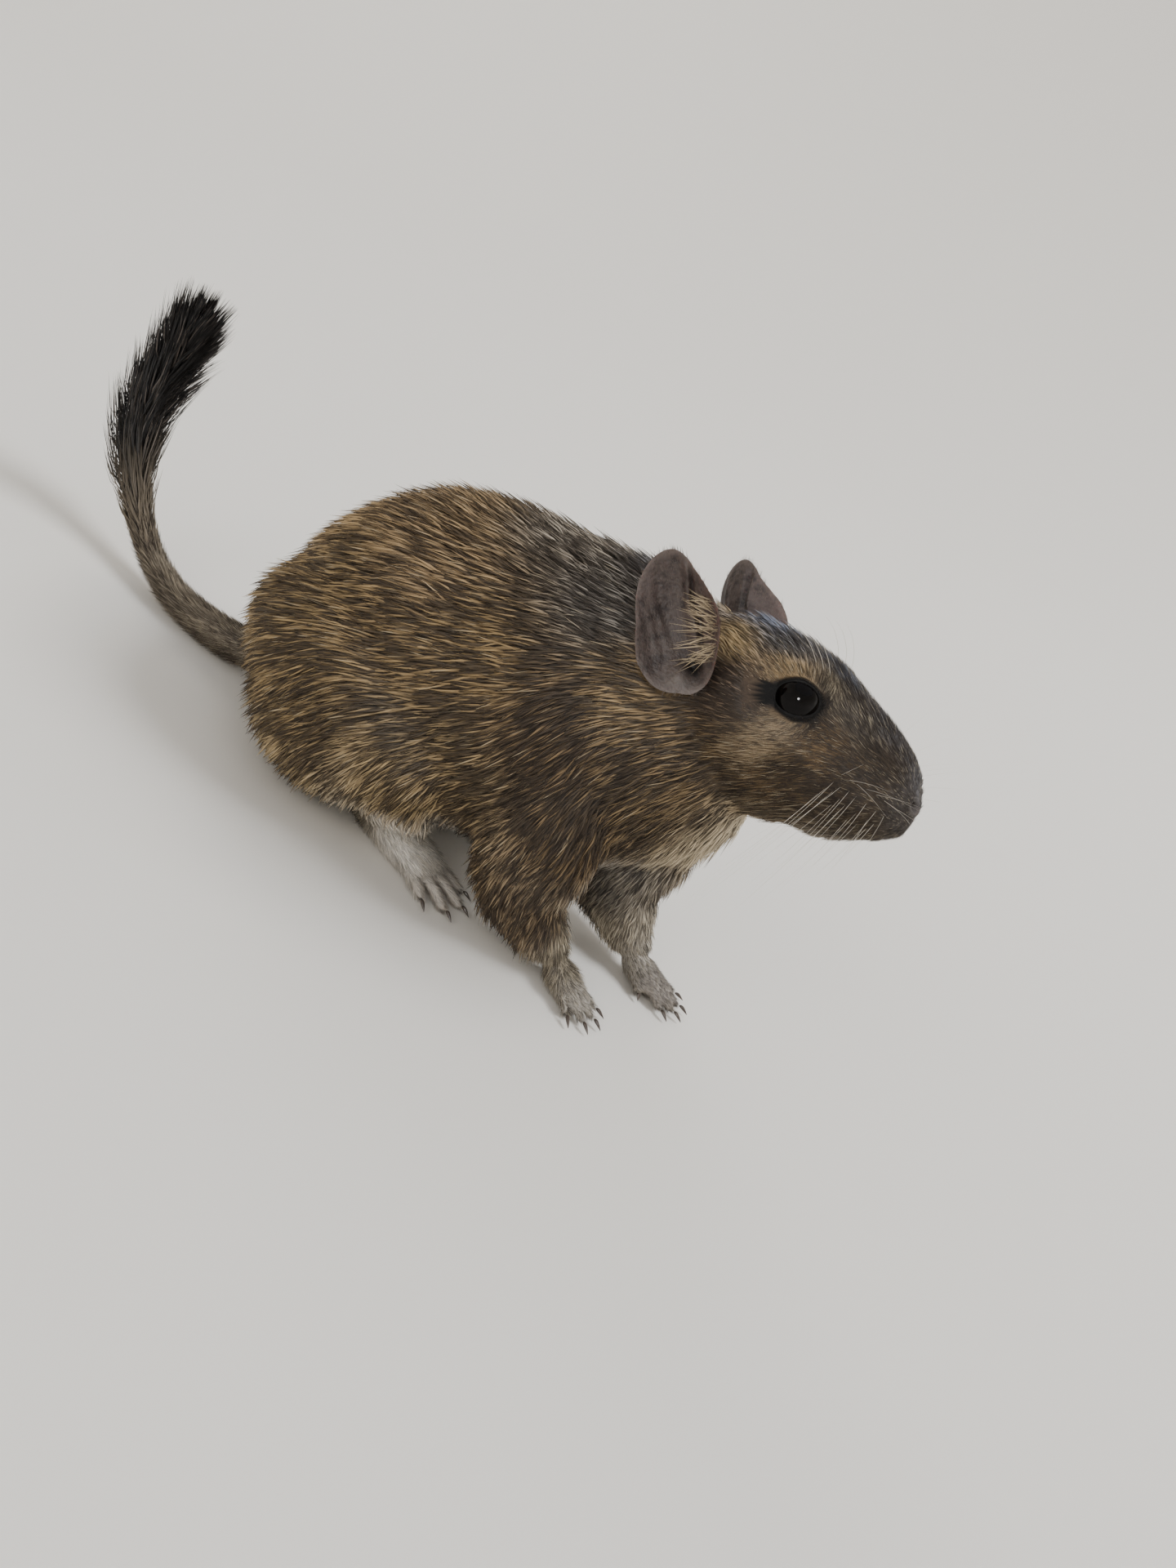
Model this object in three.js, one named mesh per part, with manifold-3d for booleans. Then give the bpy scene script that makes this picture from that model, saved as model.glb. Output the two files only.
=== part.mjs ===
// A life-size model of a degu that crouches with straight forelegs.
// Millimetres, +Z up, +X towards the nose, +Y to the animal's left, and the floor at Z = 0.
import * as THREE from 'three';
import { mergeVertices } from 'three/addons/utils/BufferGeometryUtils.js';
import Module from 'manifold-3d';

const wasm = await Module();
wasm.setup();

// Driving sizes
const GAP = 0.3; // kept between two nodes that meet
const EYE_RADIUS = 4.2;
const EYE_PLACE = [-1, 10.8, 5.6]; // in the head's frame
const LID_RADIUS = 3.75;
const LID_THICKNESS = 0.8;
const EAR_LENGTH = 28;
const EAR_WIDTH = 16;
const EAR_THICKNESS = 0.9;
const EAR_DEPTH = 4.2; // of the cup
const EAR_REACH = [ // degrees from the front edge towards the tip, share of the half sizes
  [0, 1], [30, 0.8], [62, 0.74], [95, 0.92], [120, 1], [150, 1.03], [180, 1], [205, 1.11],
  [228, 1.03], [265, 0.92], [300, 0.96], [320, 1], [345, 1.01], [360, 1],
];
const CLAW_LENGTH = 3.2;
const CLAW_RADIUS = 0.62;
const LOCK_COUNT = 40; // in the tail's brush
const LOCK_LENGTH = 16.5;
const LOCK_WIDTH = 3.4;
const LOCK_THICKNESS = 1.0;

const RIGHT = -1;
const LEFT = 1;
const SIDES = [['right', RIGHT], ['left', LEFT]];
const Y_AXIS = new THREE.Vector3(0, 1, 0);
const degrees = THREE.MathUtils.degToRad;

// The head's own frame has X to the nose and its origin under the line between the eyes.
const HEAD_PLACE = new THREE.Vector3(-1, 0, 74);
const HEAD_TURN = new THREE.Euler(degrees(-4), 0, 0); // the crown leans to the animal's left

// Each station of a form: [x, z] or [x, y, z] of its spine, half-width, reach above and reach below.
const TRUNK = [ // rump to nape
  { at: [-116.5, 15], wide: 0, above: 0, below: 0 },
  { at: [-115, 16], wide: 8.5, above: 8, below: 10 },
  { at: [-107.5, 21], wide: 15.5, above: 14.5, below: 21 },
  { at: [-94, 28.5], wide: 25.5, above: 27, below: 31 },
  { at: [-78, 35.5], wide: 31, above: 35, below: 35.5 },
  { at: [-62, 41], wide: 31, above: 36, below: 35 },
  { at: [-46, 47], wide: 28, above: 34, below: 34 },
  { at: [-31, 54.5], wide: 24.5, above: 31, below: 33 },
  { at: [-19, 62], wide: 20.5, above: 26.5, below: 27 },
  { at: [-10, 69.5], wide: 15, above: 17, below: 18 },
  { at: [-5, 74], wide: 0, above: 0, below: 0 },
];
const NECK_START = 0.7; // share of the stations where the torso ends
const TRUNK_LUMPS = [
  { at: [-30, 20, 52], size: 15, lift: 2.2, both: true }, // shoulder
  { at: [-62, 27, 62], size: 14, lift: -1.2, both: true }, // hollow of the loin
  { at: [-2, 0, 44], size: 12, lift: 3.2 }, // fur of the breast
];
const HEAD = [ // back of the skull to the nose tip, in the head's frame
  { at: [-27, 1], wide: 0, above: 0, below: 0 },
  { at: [-25.5, 1], wide: 8, above: 7, below: 8 },
  { at: [-19, 0], wide: 14.5, above: 12.8, below: 14 },
  { at: [-10, -1], wide: 17.2, above: 15.3, below: 18.5 },
  { at: [0, -1.2], wide: 15.8, above: 15.4, below: 20 },
  { at: [9, -1.2], wide: 12.6, above: 13.6, below: 17.6 },
  { at: [17, -0.8], wide: 9.8, above: 11.2, below: 12.4 },
  { at: [22.5, -0.2], wide: 7.8, above: 8.6, below: 9 },
  { at: [26, 0.6], wide: 5, above: 5, below: 5.4 },
  { at: [27.4, 1.2], wide: 0, above: 0, below: 0 },
];
const HEAD_LUMPS = [
  { at: [-9, 15, -7], size: 8, lift: 1.6, both: true }, // cheek
  { at: [-1, 12, 12], size: 4.5, lift: 1.2, both: true }, // brow
  { at: [8, 11, 5], size: 5, lift: -1, both: true }, // hollow before the eye
  { at: [19, 8, -3], size: 4.5, lift: 1.4, both: true }, // whisker pad
  { at: [18, 0, -12], size: 4, lift: 1.2 }, // chin
  { at: [26, 0, 3], size: 3, lift: 0.8 }, // nose
];
const THIGH = [ // hip to knee, Y outwards
  { at: [-108.5, 6, 24], wide: 0, above: 0, below: 0 },
  { at: [-106.5, 8, 25], wide: 9, above: 9, below: 12 },
  { at: [-93, 18, 29], wide: 14, above: 19, below: 24 },
  { at: [-76, 21.5, 29.5], wide: 14.5, above: 21, below: 26 },
  { at: [-60, 22, 27], wide: 12, above: 15.5, below: 21 },
  { at: [-49.5, 21.5, 23], wide: 7, above: 8.5, below: 12 },
  { at: [-46.5, 21, 21], wide: 0, above: 0, below: 0 },
];
const SHANK = [ // knee to heel
  { at: [-48, 20, 18], wide: 0, above: 0, below: 0 },
  { at: [-50, 20, 17], wide: 4.5, above: 5, below: 5 },
  { at: [-58, 18, 12], wide: 6, above: 6, below: 6.5 },
  { at: [-66, 15.5, 8.5], wide: 4.5, above: 4.5, below: 5 },
  { at: [-71, 14, 7], wide: 0, above: 0, below: 0 },
];
const FORELEG = [ // shoulder to wrist, X and Y counted from the wrist
  { at: [-20, -4, 57], wide: 0, above: 0, below: 0 },
  { at: [-20, -3, 54.5], wide: 8, above: 8, below: 8 },
  { at: [-18.5, 3.5, 42], wide: 11.5, above: 14.5, below: 12.5 },
  { at: [-16.5, 5, 27], wide: 9.2, above: 14, below: 14 },
  { at: [-14, 3.8, 15.5], wide: 7.6, above: 11.5, below: 12 },
  { at: [-8.5, 2.2, 10], wide: 5.4, above: 8, below: 8.2 },
  { at: [-3, 0.8, 7], wide: 4.1, above: 4.8, below: 4.8 },
  { at: [-0.2, 0, 3.4], wide: 0, above: 0, below: 0 },
];
const HIND_FOOT = { // X from the heel to the toes, Y outwards from the foot's middle
  name: 'hind',
  body: [
    { at: [-1, 0, 4.4], wide: 0, above: 0, below: 0 },
    { at: [0.2, 0, 4.3], wide: 2.6, above: 2.6, below: 3.2 },
    { at: [4, 0, 4], wide: 3.8, above: 3.6, below: 4.6 },
    { at: [11, 0, 4], wide: 5, above: 4.4, below: 4.6 },
    { at: [18.5, 0, 3.5], wide: 5.6, above: 3.6, below: 4.2 },
    { at: [23, 0, 2.8], wide: 4.7, above: 2.5, below: 3.2 },
    { at: [24.5, 0, 2.4], wide: 0, above: 0, below: 0 },
  ],
  toes: [ // outermost to innermost, fan in degrees outwards
    { root: [21, 4], fan: 20, length: 7.8 },
    { root: [22.5, 1.5], fan: 8, length: 10.2 },
    { root: [22.5, -1.4], fan: -4, length: 10.2 },
    { root: [21.1, -3.9], fan: -15, length: 8.2 },
    { root: [13, -4.2], fan: -26, length: 6.2 },
  ],
  toeRadius: 1.45,
  place: { right: [-66.5, -13.5], left: [-66, 13] }, // of the heel
  turn: { right: degrees(-7), left: degrees(9) }, // positive turns the toes to the left
};
const FORE_FOOT = { // X from the wrist to the toes
  name: 'fore',
  body: [
    { at: [-3, 0, 5.6], wide: 0, above: 0, below: 0 },
    { at: [-2, 0, 5.2], wide: 2.6, above: 2.4, below: 3 },
    { at: [1.5, 0, 4.2], wide: 3.5, above: 3, below: 4 },
    { at: [5.5, 0, 3.2], wide: 3.8, above: 2.5, below: 3.8 },
    { at: [8.2, 0, 2.6], wide: 3.2, above: 1.9, below: 3 },
    { at: [9.2, 0, 2.3], wide: 0, above: 0, below: 0 },
  ],
  toes: [
    { root: [6.4, 2.9], fan: 24, length: 4.6 },
    { root: [7.4, 1.1], fan: 8, length: 5.8 },
    { root: [7.4, -0.9], fan: -6, length: 5.8 },
    { root: [6.4, -2.7], fan: -20, length: 4.8 },
    { root: [2.4, -3], fan: -42, length: 3.2 },
  ],
  toeRadius: 1.2,
  place: { right: [-10.5, -11.5], left: [-1, 10.5] }, // of the wrist
  turn: { right: degrees(-13), left: degrees(4) },
};
const TAIL = [ // root to the last bone
  { at: [-108, -1.5, 10.5], wide: 0, above: 0, below: 0 },
  { at: [-111, -2.2, 8.4], wide: 6, above: 6, below: 6 },
  { at: [-123, -4.6, 5], wide: 5.4, above: 5.4, below: 5.6 },
  { at: [-138, -5.6, 4], wide: 4.6, above: 4.6, below: 4.6 },
  { at: [-151.5, -4.2, 6.4], wide: 3.9, above: 3.9, below: 3.9 },
  { at: [-164.5, -1.4, 12.4], wide: 3.3, above: 3.3, below: 3.3 },
  { at: [-173.5, 0.8, 21.3], wide: 2.9, above: 2.9, below: 2.9 },
  { at: [-177.2, 2, 31.3], wide: 2.6, above: 2.6, below: 2.6 },
  { at: [-176.8, 2.3, 41], wide: 2.3, above: 2.3, below: 2.3 },
  { at: [-174.2, 1.6, 50], wide: 1.8, above: 1.8, below: 1.8 },
  { at: [-173.2, 1.1, 53], wide: 0, above: 0, below: 0 },
];
const SLEEVE = [ // the hair that thickens the tail up to its brush
  { at: [-151.5, -4.2, 6.4], wide: 2.6, above: 2.6, below: 2.6 },
  { at: [-157.6, -3, 9.3], wide: 3.9, above: 3.9, below: 3.9 },
  { at: [-164.5, -1.4, 12.4], wide: 4.5, above: 4.5, below: 4.5 },
  { at: [-169.6, -0.2, 16.6], wide: 5, above: 5, below: 5 },
  { at: [-173.5, 0.8, 21.3], wide: 5.3, above: 5.3, below: 5.3 },
];
const TAIL_LENGTHS = [['tail_root', 0, 0.24], ['tail_middle', 0.24, 0.42], ['tail_bend', 0.42, 0.6],
  ['tail_brush', 0.6, 1]];

// Colours of the coat and the bare parts
const coat = new THREE.MeshStandardMaterial({ color: 0x7d6546, roughness: 0.95, metalness: 0 });
const paleCoat = new THREE.MeshStandardMaterial({ color: 0xa79a86, roughness: 0.9, metalness: 0 });
const earSkin = new THREE.MeshStandardMaterial({ color: 0x5f5654, roughness: 0.8, metalness: 0 });
const eyeBlack = new THREE.MeshStandardMaterial({ color: 0x0c0a09, roughness: 0.08, metalness: 0 });
const horn = new THREE.MeshStandardMaterial({ color: 0x4a4340, roughness: 0.45, metalness: 0 });
const brushHair = new THREE.MeshStandardMaterial({ color: 0x2b2624, roughness: 0.9, metalness: 0 });

const vector = (p) => (p.length === 3 ? new THREE.Vector3(...p) : new THREE.Vector3(p[0], 0, p[1]));
const smooth = (points) => new THREE.CatmullRomCurve3(points, false, 'catmullrom', 0.5);

// The surface of a form: spine and sizes run through the stations on two curves of one parameter.
function surfaceOf(stations, { lumps = [], across = Y_AXIS }) {
  const spine = smooth(stations.map((s) => vector(s.at)));
  const sizes = smooth(stations.map((s) => new THREE.Vector3(s.wide, s.above, s.below)));
  return (t, angle) => {
    const along = spine.getTangent(t);
    const side = across.clone().addScaledVector(along, -along.dot(across)).normalize();
    const up = along.clone().cross(side);
    const size = sizes.getPoint(t);
    const reach = Math.sin(angle) > 0 ? size.y : size.z;
    const offset = side.multiplyScalar(size.x * Math.cos(angle)).addScaledVector(up, reach * Math.sin(angle));
    const outward = offset.clone().normalize();
    const point = spine.getPoint(t).add(offset);
    let lift = 0;
    for (const lump of lumps) {
      const y = lump.both ? Math.sign(point.y) * lump.at[1] : lump.at[1];
      const distance = point.distanceTo(new THREE.Vector3(lump.at[0], y, lump.at[2]));
      lift += lump.lift * Math.exp(-((distance / lump.size) ** 2));
    }
    return point.addScaledVector(outward, lift);
  };
}

// A closed mesh of rings on such a surface, over a share of its stations, its skin moved out by grow.
function formAlong(stations, { sides, rings, from = 0, to = 1, grow = 0, ...look }) {
  const surface = surfaceOf(stations, look);
  const spine = smooth(stations.map((s) => vector(s.at)));
  const roundEnd = 0.35 / rings; // the first ring of a rounded end stands this far from its pole
  const start = from === 0 ? roundEnd : 0;
  const end = to === 1 ? 1 - roundEnd : 1;
  const points = [spine.getPoint(from)];
  for (let i = 0; i < rings; i++) {
    const share = start + ((end - start) * i) / (rings - 1);
    for (let k = 0; k < sides; k++) {
      points.push(surface(from + (to - from) * share, (k / sides) * 2 * Math.PI));
    }
  }
  points.push(spine.getPoint(to));
  const corner = (i, k) => 1 + i * sides + (k % sides);
  const faces = [];
  for (let k = 0; k < sides; k++) {
    faces.push(0, corner(0, k + 1), corner(0, k));
    for (let i = 0; i + 1 < rings; i++) {
      faces.push(corner(i, k), corner(i + 1, k + 1), corner(i + 1, k));
      faces.push(corner(i, k), corner(i, k + 1), corner(i + 1, k + 1));
    }
    faces.push(points.length - 1, corner(rings - 1, k), corner(rings - 1, k + 1));
  }
  const geometry = new THREE.BufferGeometry().setFromPoints(points);
  geometry.setIndex(faces);
  if (grow > 0) {
    geometry.computeVertexNormals();
    const { position, normal } = geometry.attributes;
    for (let i = 0; i < position.array.length; i++) position.array[i] += normal.array[i] * grow * 1.12;
  }
  return geometry;
}

// Solids for the cuts and joins
function solidOf(geometry) {
  const bare = geometry.index ? geometry.clone() : geometry;
  for (const name of ['normal', 'uv']) bare.deleteAttribute(name);
  const merged = mergeVertices(bare, 1e-4);
  return new wasm.Manifold(new wasm.Mesh({
    numProp: 3,
    vertProperties: new Float32Array(merged.attributes.position.array),
    triVerts: new Uint32Array(merged.index.array),
  }));
}
const form = (stations, options) => solidOf(formAlong(stations, options));
const joined = (solids) => solids.reduce((whole, piece) => whole.add(piece));
const cutBy = (solid, cutters) => cutters.reduce((left, cutter) => left.subtract(cutter), solid);
const moved = (solid, matrix) => solid.transform(matrix.elements);
const mirroredStations = (stations, side) => stations.map((s) => ({
  ...s, at: s.at.length === 3 ? [s.at[0], s.at[1] * side, s.at[2]] : s.at,
}));

const floor = solidOf(new THREE.BoxGeometry(600, 300, 100).translate(0, 0, -50));

function nodeOf(name, solid, material) {
  const whole = solid.decompose().sort((a, b) => b.volume() - a.volume())[0].getMesh();
  const geometry = new THREE.BufferGeometry();
  geometry.setAttribute('position', new THREE.BufferAttribute(new Float32Array(whole.vertProperties), 3));
  geometry.setIndex(new THREE.BufferAttribute(new Uint32Array(whole.triVerts), 1));
  geometry.computeVertexNormals();
  const mesh = new THREE.Mesh(geometry, material);
  mesh.name = name;
  return mesh;
}

function seededRandom(seed) {
  let state = seed;
  return () => {
    state = (state * 16807) % 2147483647;
    return state / 2147483647;
  };
}

// Trunk, with the head's frame placed on it
const trunkLook = { sides: 32, lumps: TRUNK_LUMPS };
const torsoForm = (grow) => form(TRUNK, { ...trunkLook, rings: 19, to: NECK_START, grow });
const neckForm = (grow) => form(TRUNK, { ...trunkLook, rings: 6, from: NECK_START + 0.0035, grow });
const trunkGrown = [torsoForm(GAP), neckForm(GAP)];
const headMatrix = new THREE.Matrix4().compose(
  HEAD_PLACE, new THREE.Quaternion().setFromEuler(HEAD_TURN), new THREE.Vector3(1, 1, 1));
const intoHead = headMatrix.clone().invert();

// Head
const headLook = { sides: 30, rings: 24, lumps: HEAD_LUMPS };
const headSkin = surfaceOf(HEAD, { lumps: HEAD_LUMPS });
const headGrown = form(HEAD, { ...headLook, grow: GAP });

function eyeForm(side, grow) {
  return solidOf(new THREE.SphereGeometry(EYE_RADIUS + grow, 16, 10)
    .translate(EYE_PLACE[0], side * EYE_PLACE[1], EYE_PLACE[2]));
}

function lidRing(side) {
  const gaze = new THREE.Vector3(0.16, side * 0.93, 0.3).normalize();
  const centre = new THREE.Vector3(EYE_PLACE[0], side * EYE_PLACE[1], EYE_PLACE[2]).addScaledVector(gaze, 1.9);
  const ring = new THREE.TorusGeometry(LID_RADIUS, LID_THICKNESS, 6, 18);
  ring.scale(1, 0.94, 1);
  ring.applyQuaternion(new THREE.Quaternion().setFromUnitVectors(new THREE.Vector3(0, 0, 1), gaze));
  return solidOf(ring.translate(centre.x, centre.y, centre.z));
}

// A groove cut along the head's skin, through [share of the stations, angle in degrees] pairs.
function skinGroove(steps, radius) {
  const places = steps.map(([t, angle]) => headSkin(t, degrees(angle)));
  const stations = places.map((p, i) => {
    const size = i === 0 || i === places.length - 1 ? 0 : radius;
    return { at: p.toArray(), wide: size, above: size, below: size };
  });
  return form(stations, { sides: 5, rings: 6, across: new THREE.Vector3(0.2, 0.1, 1) });
}

function makeHead() {
  let head = form(HEAD, headLook);
  head = joined([head, ...SIDES.map(([, side]) => lidRing(side))]);
  const cutters = [skinGroove([[1, -90], [0.95, -90], [0.9, -90], [0.86, -88]], 0.4)];
  for (const [, side] of SIDES) {
    const mirror = (angle) => (side === LEFT ? angle : -180 - angle);
    cutters.push(eyeForm(side, GAP));
    cutters.push(skinGroove([[0.87, mirror(-86)], [0.86, mirror(-70)], [0.84, mirror(-52)],
      [0.8, mirror(-40)], [0.75, mirror(-36)]], 0.5));
    cutters.push(solidOf(new THREE.SphereGeometry(1, 8, 6).scale(1.5, 0.75, 0.8)
      .rotateZ(side * 0.7).translate(26.6, side * 2.5, 0.4)));
  }
  return cutBy(head, cutters);
}

// How far the ear's edge reaches at an angle in its plane
function earReach(angle) {
  const turn = ((angle * 180) / Math.PI + 360) % 360;
  const i = EAR_REACH.findIndex(([at]) => at > turn);
  const [[from, low], [to, high]] = [EAR_REACH[i - 1], EAR_REACH[i]];
  const share = (turn - from) / (to - from);
  return low + (high - low) * share * share * (3 - 2 * share);
}

// The ear is a thin cup on a short root, with its front edge folded over.
function earForm(side) {
  const longAxis = new THREE.Vector3(-0.6, side * 0.04, 0.8).normalize();
  const flare = degrees(22);
  const widthAxis = new THREE.Vector3(0.795 * Math.cos(flare), -side * Math.sin(flare), 0.605 * Math.cos(flare));
  widthAxis.addScaledVector(longAxis, -widthAxis.dot(longAxis)).normalize();
  const outward = longAxis.clone().cross(widthAxis).multiplyScalar(side);
  const centre = new THREE.Vector3(-25, side * 18.8, 5.6);
  const ear = new THREE.SphereGeometry(1, 20, 12);
  const place = ear.attributes.position;
  for (let i = 0; i < place.count; i++) {
    const a = place.getZ(i);
    const b = place.getX(i);
    const layer = Math.sign(place.getY(i)) * Math.sqrt(Math.abs(place.getY(i)));
    const reach = earReach(Math.atan2(a, b));
    const fold = 3 * Math.max(0, b - 0.45) ** 2 * (1 - 0.5 * a);
    const depth = EAR_DEPTH * (a * a + b * b - 0.7) + 4 * fold * (b > 0 ? 1 : 0);
    const point = centre.clone()
      .addScaledVector(longAxis, a * reach * (EAR_LENGTH / 2))
      .addScaledVector(widthAxis, b * reach * (EAR_WIDTH / 2) - fold)
      .addScaledVector(outward, depth + layer * (EAR_THICKNESS / 2) * side);
    place.setXYZ(i, point.x, point.y, point.z);
  }
  const root = new THREE.SphereGeometry(1, 12, 8).scale(5.5, 4.5, 6.5).translate(-22.5, side * 14.6, 0.5);
  return joined([solidOf(ear), solidOf(root)]);
}

// Feet: sole, toes and, as nodes of their own, the claws
function footMatrix(foot, name) {
  const [x, y] = foot.place[name];
  return new THREE.Matrix4().makeTranslation(x, y, 0).multiply(new THREE.Matrix4().makeRotationZ(foot.turn[name]));
}

function toeCourse(toe, side) {
  const fan = degrees(toe.fan) * side;
  return (reach, height) => [
    toe.root[0] + reach * Math.cos(fan), toe.root[1] * side + reach * Math.sin(fan), height];
}

function footForm(foot, side, grow) {
  const r = foot.toeRadius;
  const parts = [form(mirroredStations(foot.body, side), { sides: 10, rings: 8, grow })];
  for (const toe of foot.toes) {
    const at = toeCourse(toe, side);
    const stations = [
      { at: at(-2.5, 2.4), wide: 0, above: 0, below: 0 },
      { at: at(-1.5, 2.5), wide: r, above: r, below: r },
      { at: at(toe.length * 0.35, 2.7), wide: r, above: r * 0.95, below: r },
      { at: at(toe.length * 0.7, 1.9), wide: r * 0.85, above: r * 0.8, below: r },
      { at: at(toe.length * 0.93, 1.3), wide: r * 0.9, above: r * 0.75, below: r * 1.1 },
      { at: at(toe.length, 1.2), wide: 0, above: 0, below: 0 },
    ];
    parts.push(form(stations, { sides: 6, rings: 5, grow }));
  }
  return joined(parts);
}

function clawForm(foot, toe, side) {
  const at = toeCourse(toe, side);
  const inner = toe === foot.toes[foot.toes.length - 1];
  const length = inner ? CLAW_LENGTH * 0.6 : CLAW_LENGTH;
  const tip = { wide: 0, above: 0, below: 0 };
  const stations = [
    { at: at(toe.length + GAP, 1.6), ...tip },
    { at: at(toe.length + GAP + 0.3, 1.65), wide: CLAW_RADIUS, above: CLAW_RADIUS, below: CLAW_RADIUS },
    { at: at(toe.length + length * 0.55, 1.6), wide: 0.42, above: 0.46, below: 0.46 },
    { at: at(toe.length + length, 0.5), ...tip },
  ];
  return form(stations, { sides: 5, rings: 3 });
}

// Tail: a tapered core, and from the middle on the brush of flat locks
function lockForm(t, turn, length, width, lean) {
  const spine = smooth(TAIL.map((s) => vector(s.at)));
  const along = spine.getTangent(Math.min(t, 0.985));
  const skin = surfaceOf(TAIL, {});
  const root = skin(Math.min(t, 0.985), turn);
  const centre = spine.getPoint(Math.min(t, 0.985));
  const outward = root.clone().sub(centre).normalize();
  const across = along.clone().cross(outward);
  const shapes = [[-0.1, 0.5, 0], [0.02, 0.75, 0.1], [0.36, 1, 0.75], [0.72, 0.7, 0.95], [1, 0, 1]];
  const stations = shapes.map(([share, size, rise]) => ({
    at: centre.clone()
      .addScaledVector(along, share * length * Math.cos(lean))
      .addScaledVector(outward, centre.distanceTo(root) * 0.45 + rise * length * Math.sin(lean)).toArray(),
    wide: (size * width) / 2,
    above: (size * LOCK_THICKNESS) / 2,
    below: (size * LOCK_THICKNESS) / 2,
  }));
  return form(stations, { sides: 4, rings: 3, across });
}

function tailLocks() {
  const random = seededRandom(11);
  const goldenTurn = Math.PI * (3 - Math.sqrt(5));
  const locks = [];
  for (let i = 0; i < LOCK_COUNT; i++) {
    const share = i / (LOCK_COUNT - 1);
    const t = 0.613 + 0.377 * share;
    const length = LOCK_LENGTH * (0.66 + 0.2 * share + 0.18 * random());
    const lean = degrees(20 + 8 * random() - 3 * share);
    locks.push(lockForm(t, i * goldenTurn, length, LOCK_WIDTH * (0.85 + 0.3 * random()), lean));
  }
  return locks;
}

// Everything is put together here, first the solids that others are cut by.
const trunkGroup = new THREE.Group();
const headGroup = new THREE.Group();
headGroup.position.copy(HEAD_PLACE);
headGroup.rotation.copy(HEAD_TURN);
trunkGroup.add(headGroup);

const feet = [HIND_FOOT, FORE_FOOT].flatMap((foot) => SIDES.map(([name, side]) => {
  const matrix = footMatrix(foot, name);
  return {
    foot, name, side, matrix,
    plain: moved(footForm(foot, side, 0), matrix),
    grown: moved(footForm(foot, side, GAP), matrix),
  };
}));
const grownFeet = feet.map((f) => f.grown);

trunkGroup.add(nodeOf('torso', cutBy(torsoForm(0), [floor, ...grownFeet]), coat));
trunkGroup.add(nodeOf('neck', neckForm(0).subtract(moved(headGrown, headMatrix)), coat));

headGroup.add(nodeOf('head', makeHead(), coat));
for (const [name, side] of SIDES) {
  headGroup.add(nodeOf(`eye_${name}`, eyeForm(side, 0), eyeBlack));
  const ear = cutBy(earForm(side), [headGrown, ...trunkGrown.map((solid) => moved(solid, intoHead))]);
  headGroup.add(nodeOf(`ear_${name}`, ear, earSkin));
}

for (const { foot, name, side, matrix, plain, grown } of feet) {
  const hind = foot === HIND_FOOT;
  const [wristX, wristY] = FORE_FOOT.place[name];
  const leg = hind
    ? joined([form(mirroredStations(THIGH, side), { sides: 18, rings: 12 }),
      form(mirroredStations(SHANK, side), { sides: 12, rings: 6 })])
    : form(mirroredStations(FORELEG, side), { sides: 16, rings: 12 }).translate([wristX, wristY, 0]);
  trunkGroup.add(nodeOf(`leg_${foot.name}_${name}`, cutBy(leg, [...trunkGrown, grown, floor]), coat));
  trunkGroup.add(nodeOf(`foot_${foot.name}_${name}`, plain.subtract(floor), paleCoat));
  foot.toes.forEach((toe, i) => {
    const claw = moved(clawForm(foot, toe, side), matrix);
    trunkGroup.add(nodeOf(`claw_${foot.name}_${name}_${i + 1}`, claw, horn));
  });
}

const sleeve = (grow) => form(SLEEVE, { sides: 14, rings: 7, grow });
for (const [name, from, to] of TAIL_LENGTHS) {
  const gapShare = from > 0 ? 0.0025 : 0;
  const core = form(TAIL, { sides: 12, rings: Math.round(28 * (to - from)), from: from + gapShare, to });
  const extras = { tail_bend: [sleeve(0)], tail_brush: tailLocks() }[name] ?? [];
  const cutters = { tail_middle: [sleeve(GAP)], tail_brush: [sleeve(GAP)] }[name] ?? [];
  const tail = cutBy(joined([core, ...extras]), [...trunkGrown, floor, ...cutters]);
  trunkGroup.add(nodeOf(name, tail, name === 'tail_brush' ? brushHair : coat));
}

// The origin is on the floor under the middle of the model.
const degu = new THREE.Group();
degu.name = 'degu';
degu.add(trunkGroup);
const box = new THREE.Box3().setFromObject(degu);
trunkGroup.position.set(-(box.min.x + box.max.x) / 2, -(box.min.y + box.max.y) / 2, -box.min.z);
degu.updateMatrixWorld(true);

export default degu;
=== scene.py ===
import math
import time

import bmesh
import bpy
import numpy as np
from mathutils import Matrix, Vector
from mathutils.kdtree import KDTree


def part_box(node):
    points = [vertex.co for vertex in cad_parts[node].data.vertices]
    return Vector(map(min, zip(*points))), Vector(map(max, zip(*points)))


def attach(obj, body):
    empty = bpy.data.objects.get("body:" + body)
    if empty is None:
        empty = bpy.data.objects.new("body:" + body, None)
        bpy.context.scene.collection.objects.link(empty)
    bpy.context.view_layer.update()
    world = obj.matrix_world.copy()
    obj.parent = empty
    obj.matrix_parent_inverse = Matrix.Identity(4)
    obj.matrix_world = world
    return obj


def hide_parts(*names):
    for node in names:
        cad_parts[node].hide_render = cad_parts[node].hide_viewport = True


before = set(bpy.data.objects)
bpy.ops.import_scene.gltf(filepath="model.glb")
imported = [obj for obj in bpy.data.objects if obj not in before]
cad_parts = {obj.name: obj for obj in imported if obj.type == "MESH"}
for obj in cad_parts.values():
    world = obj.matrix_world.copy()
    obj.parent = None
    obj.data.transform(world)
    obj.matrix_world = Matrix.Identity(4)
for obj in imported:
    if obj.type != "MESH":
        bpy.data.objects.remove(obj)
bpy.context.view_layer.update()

started = time.time()
draw = np.random.RandomState(7)
mm = 0.001


def say(text):
    print(f"{text} at {time.time() - started:.1f} s")


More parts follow.
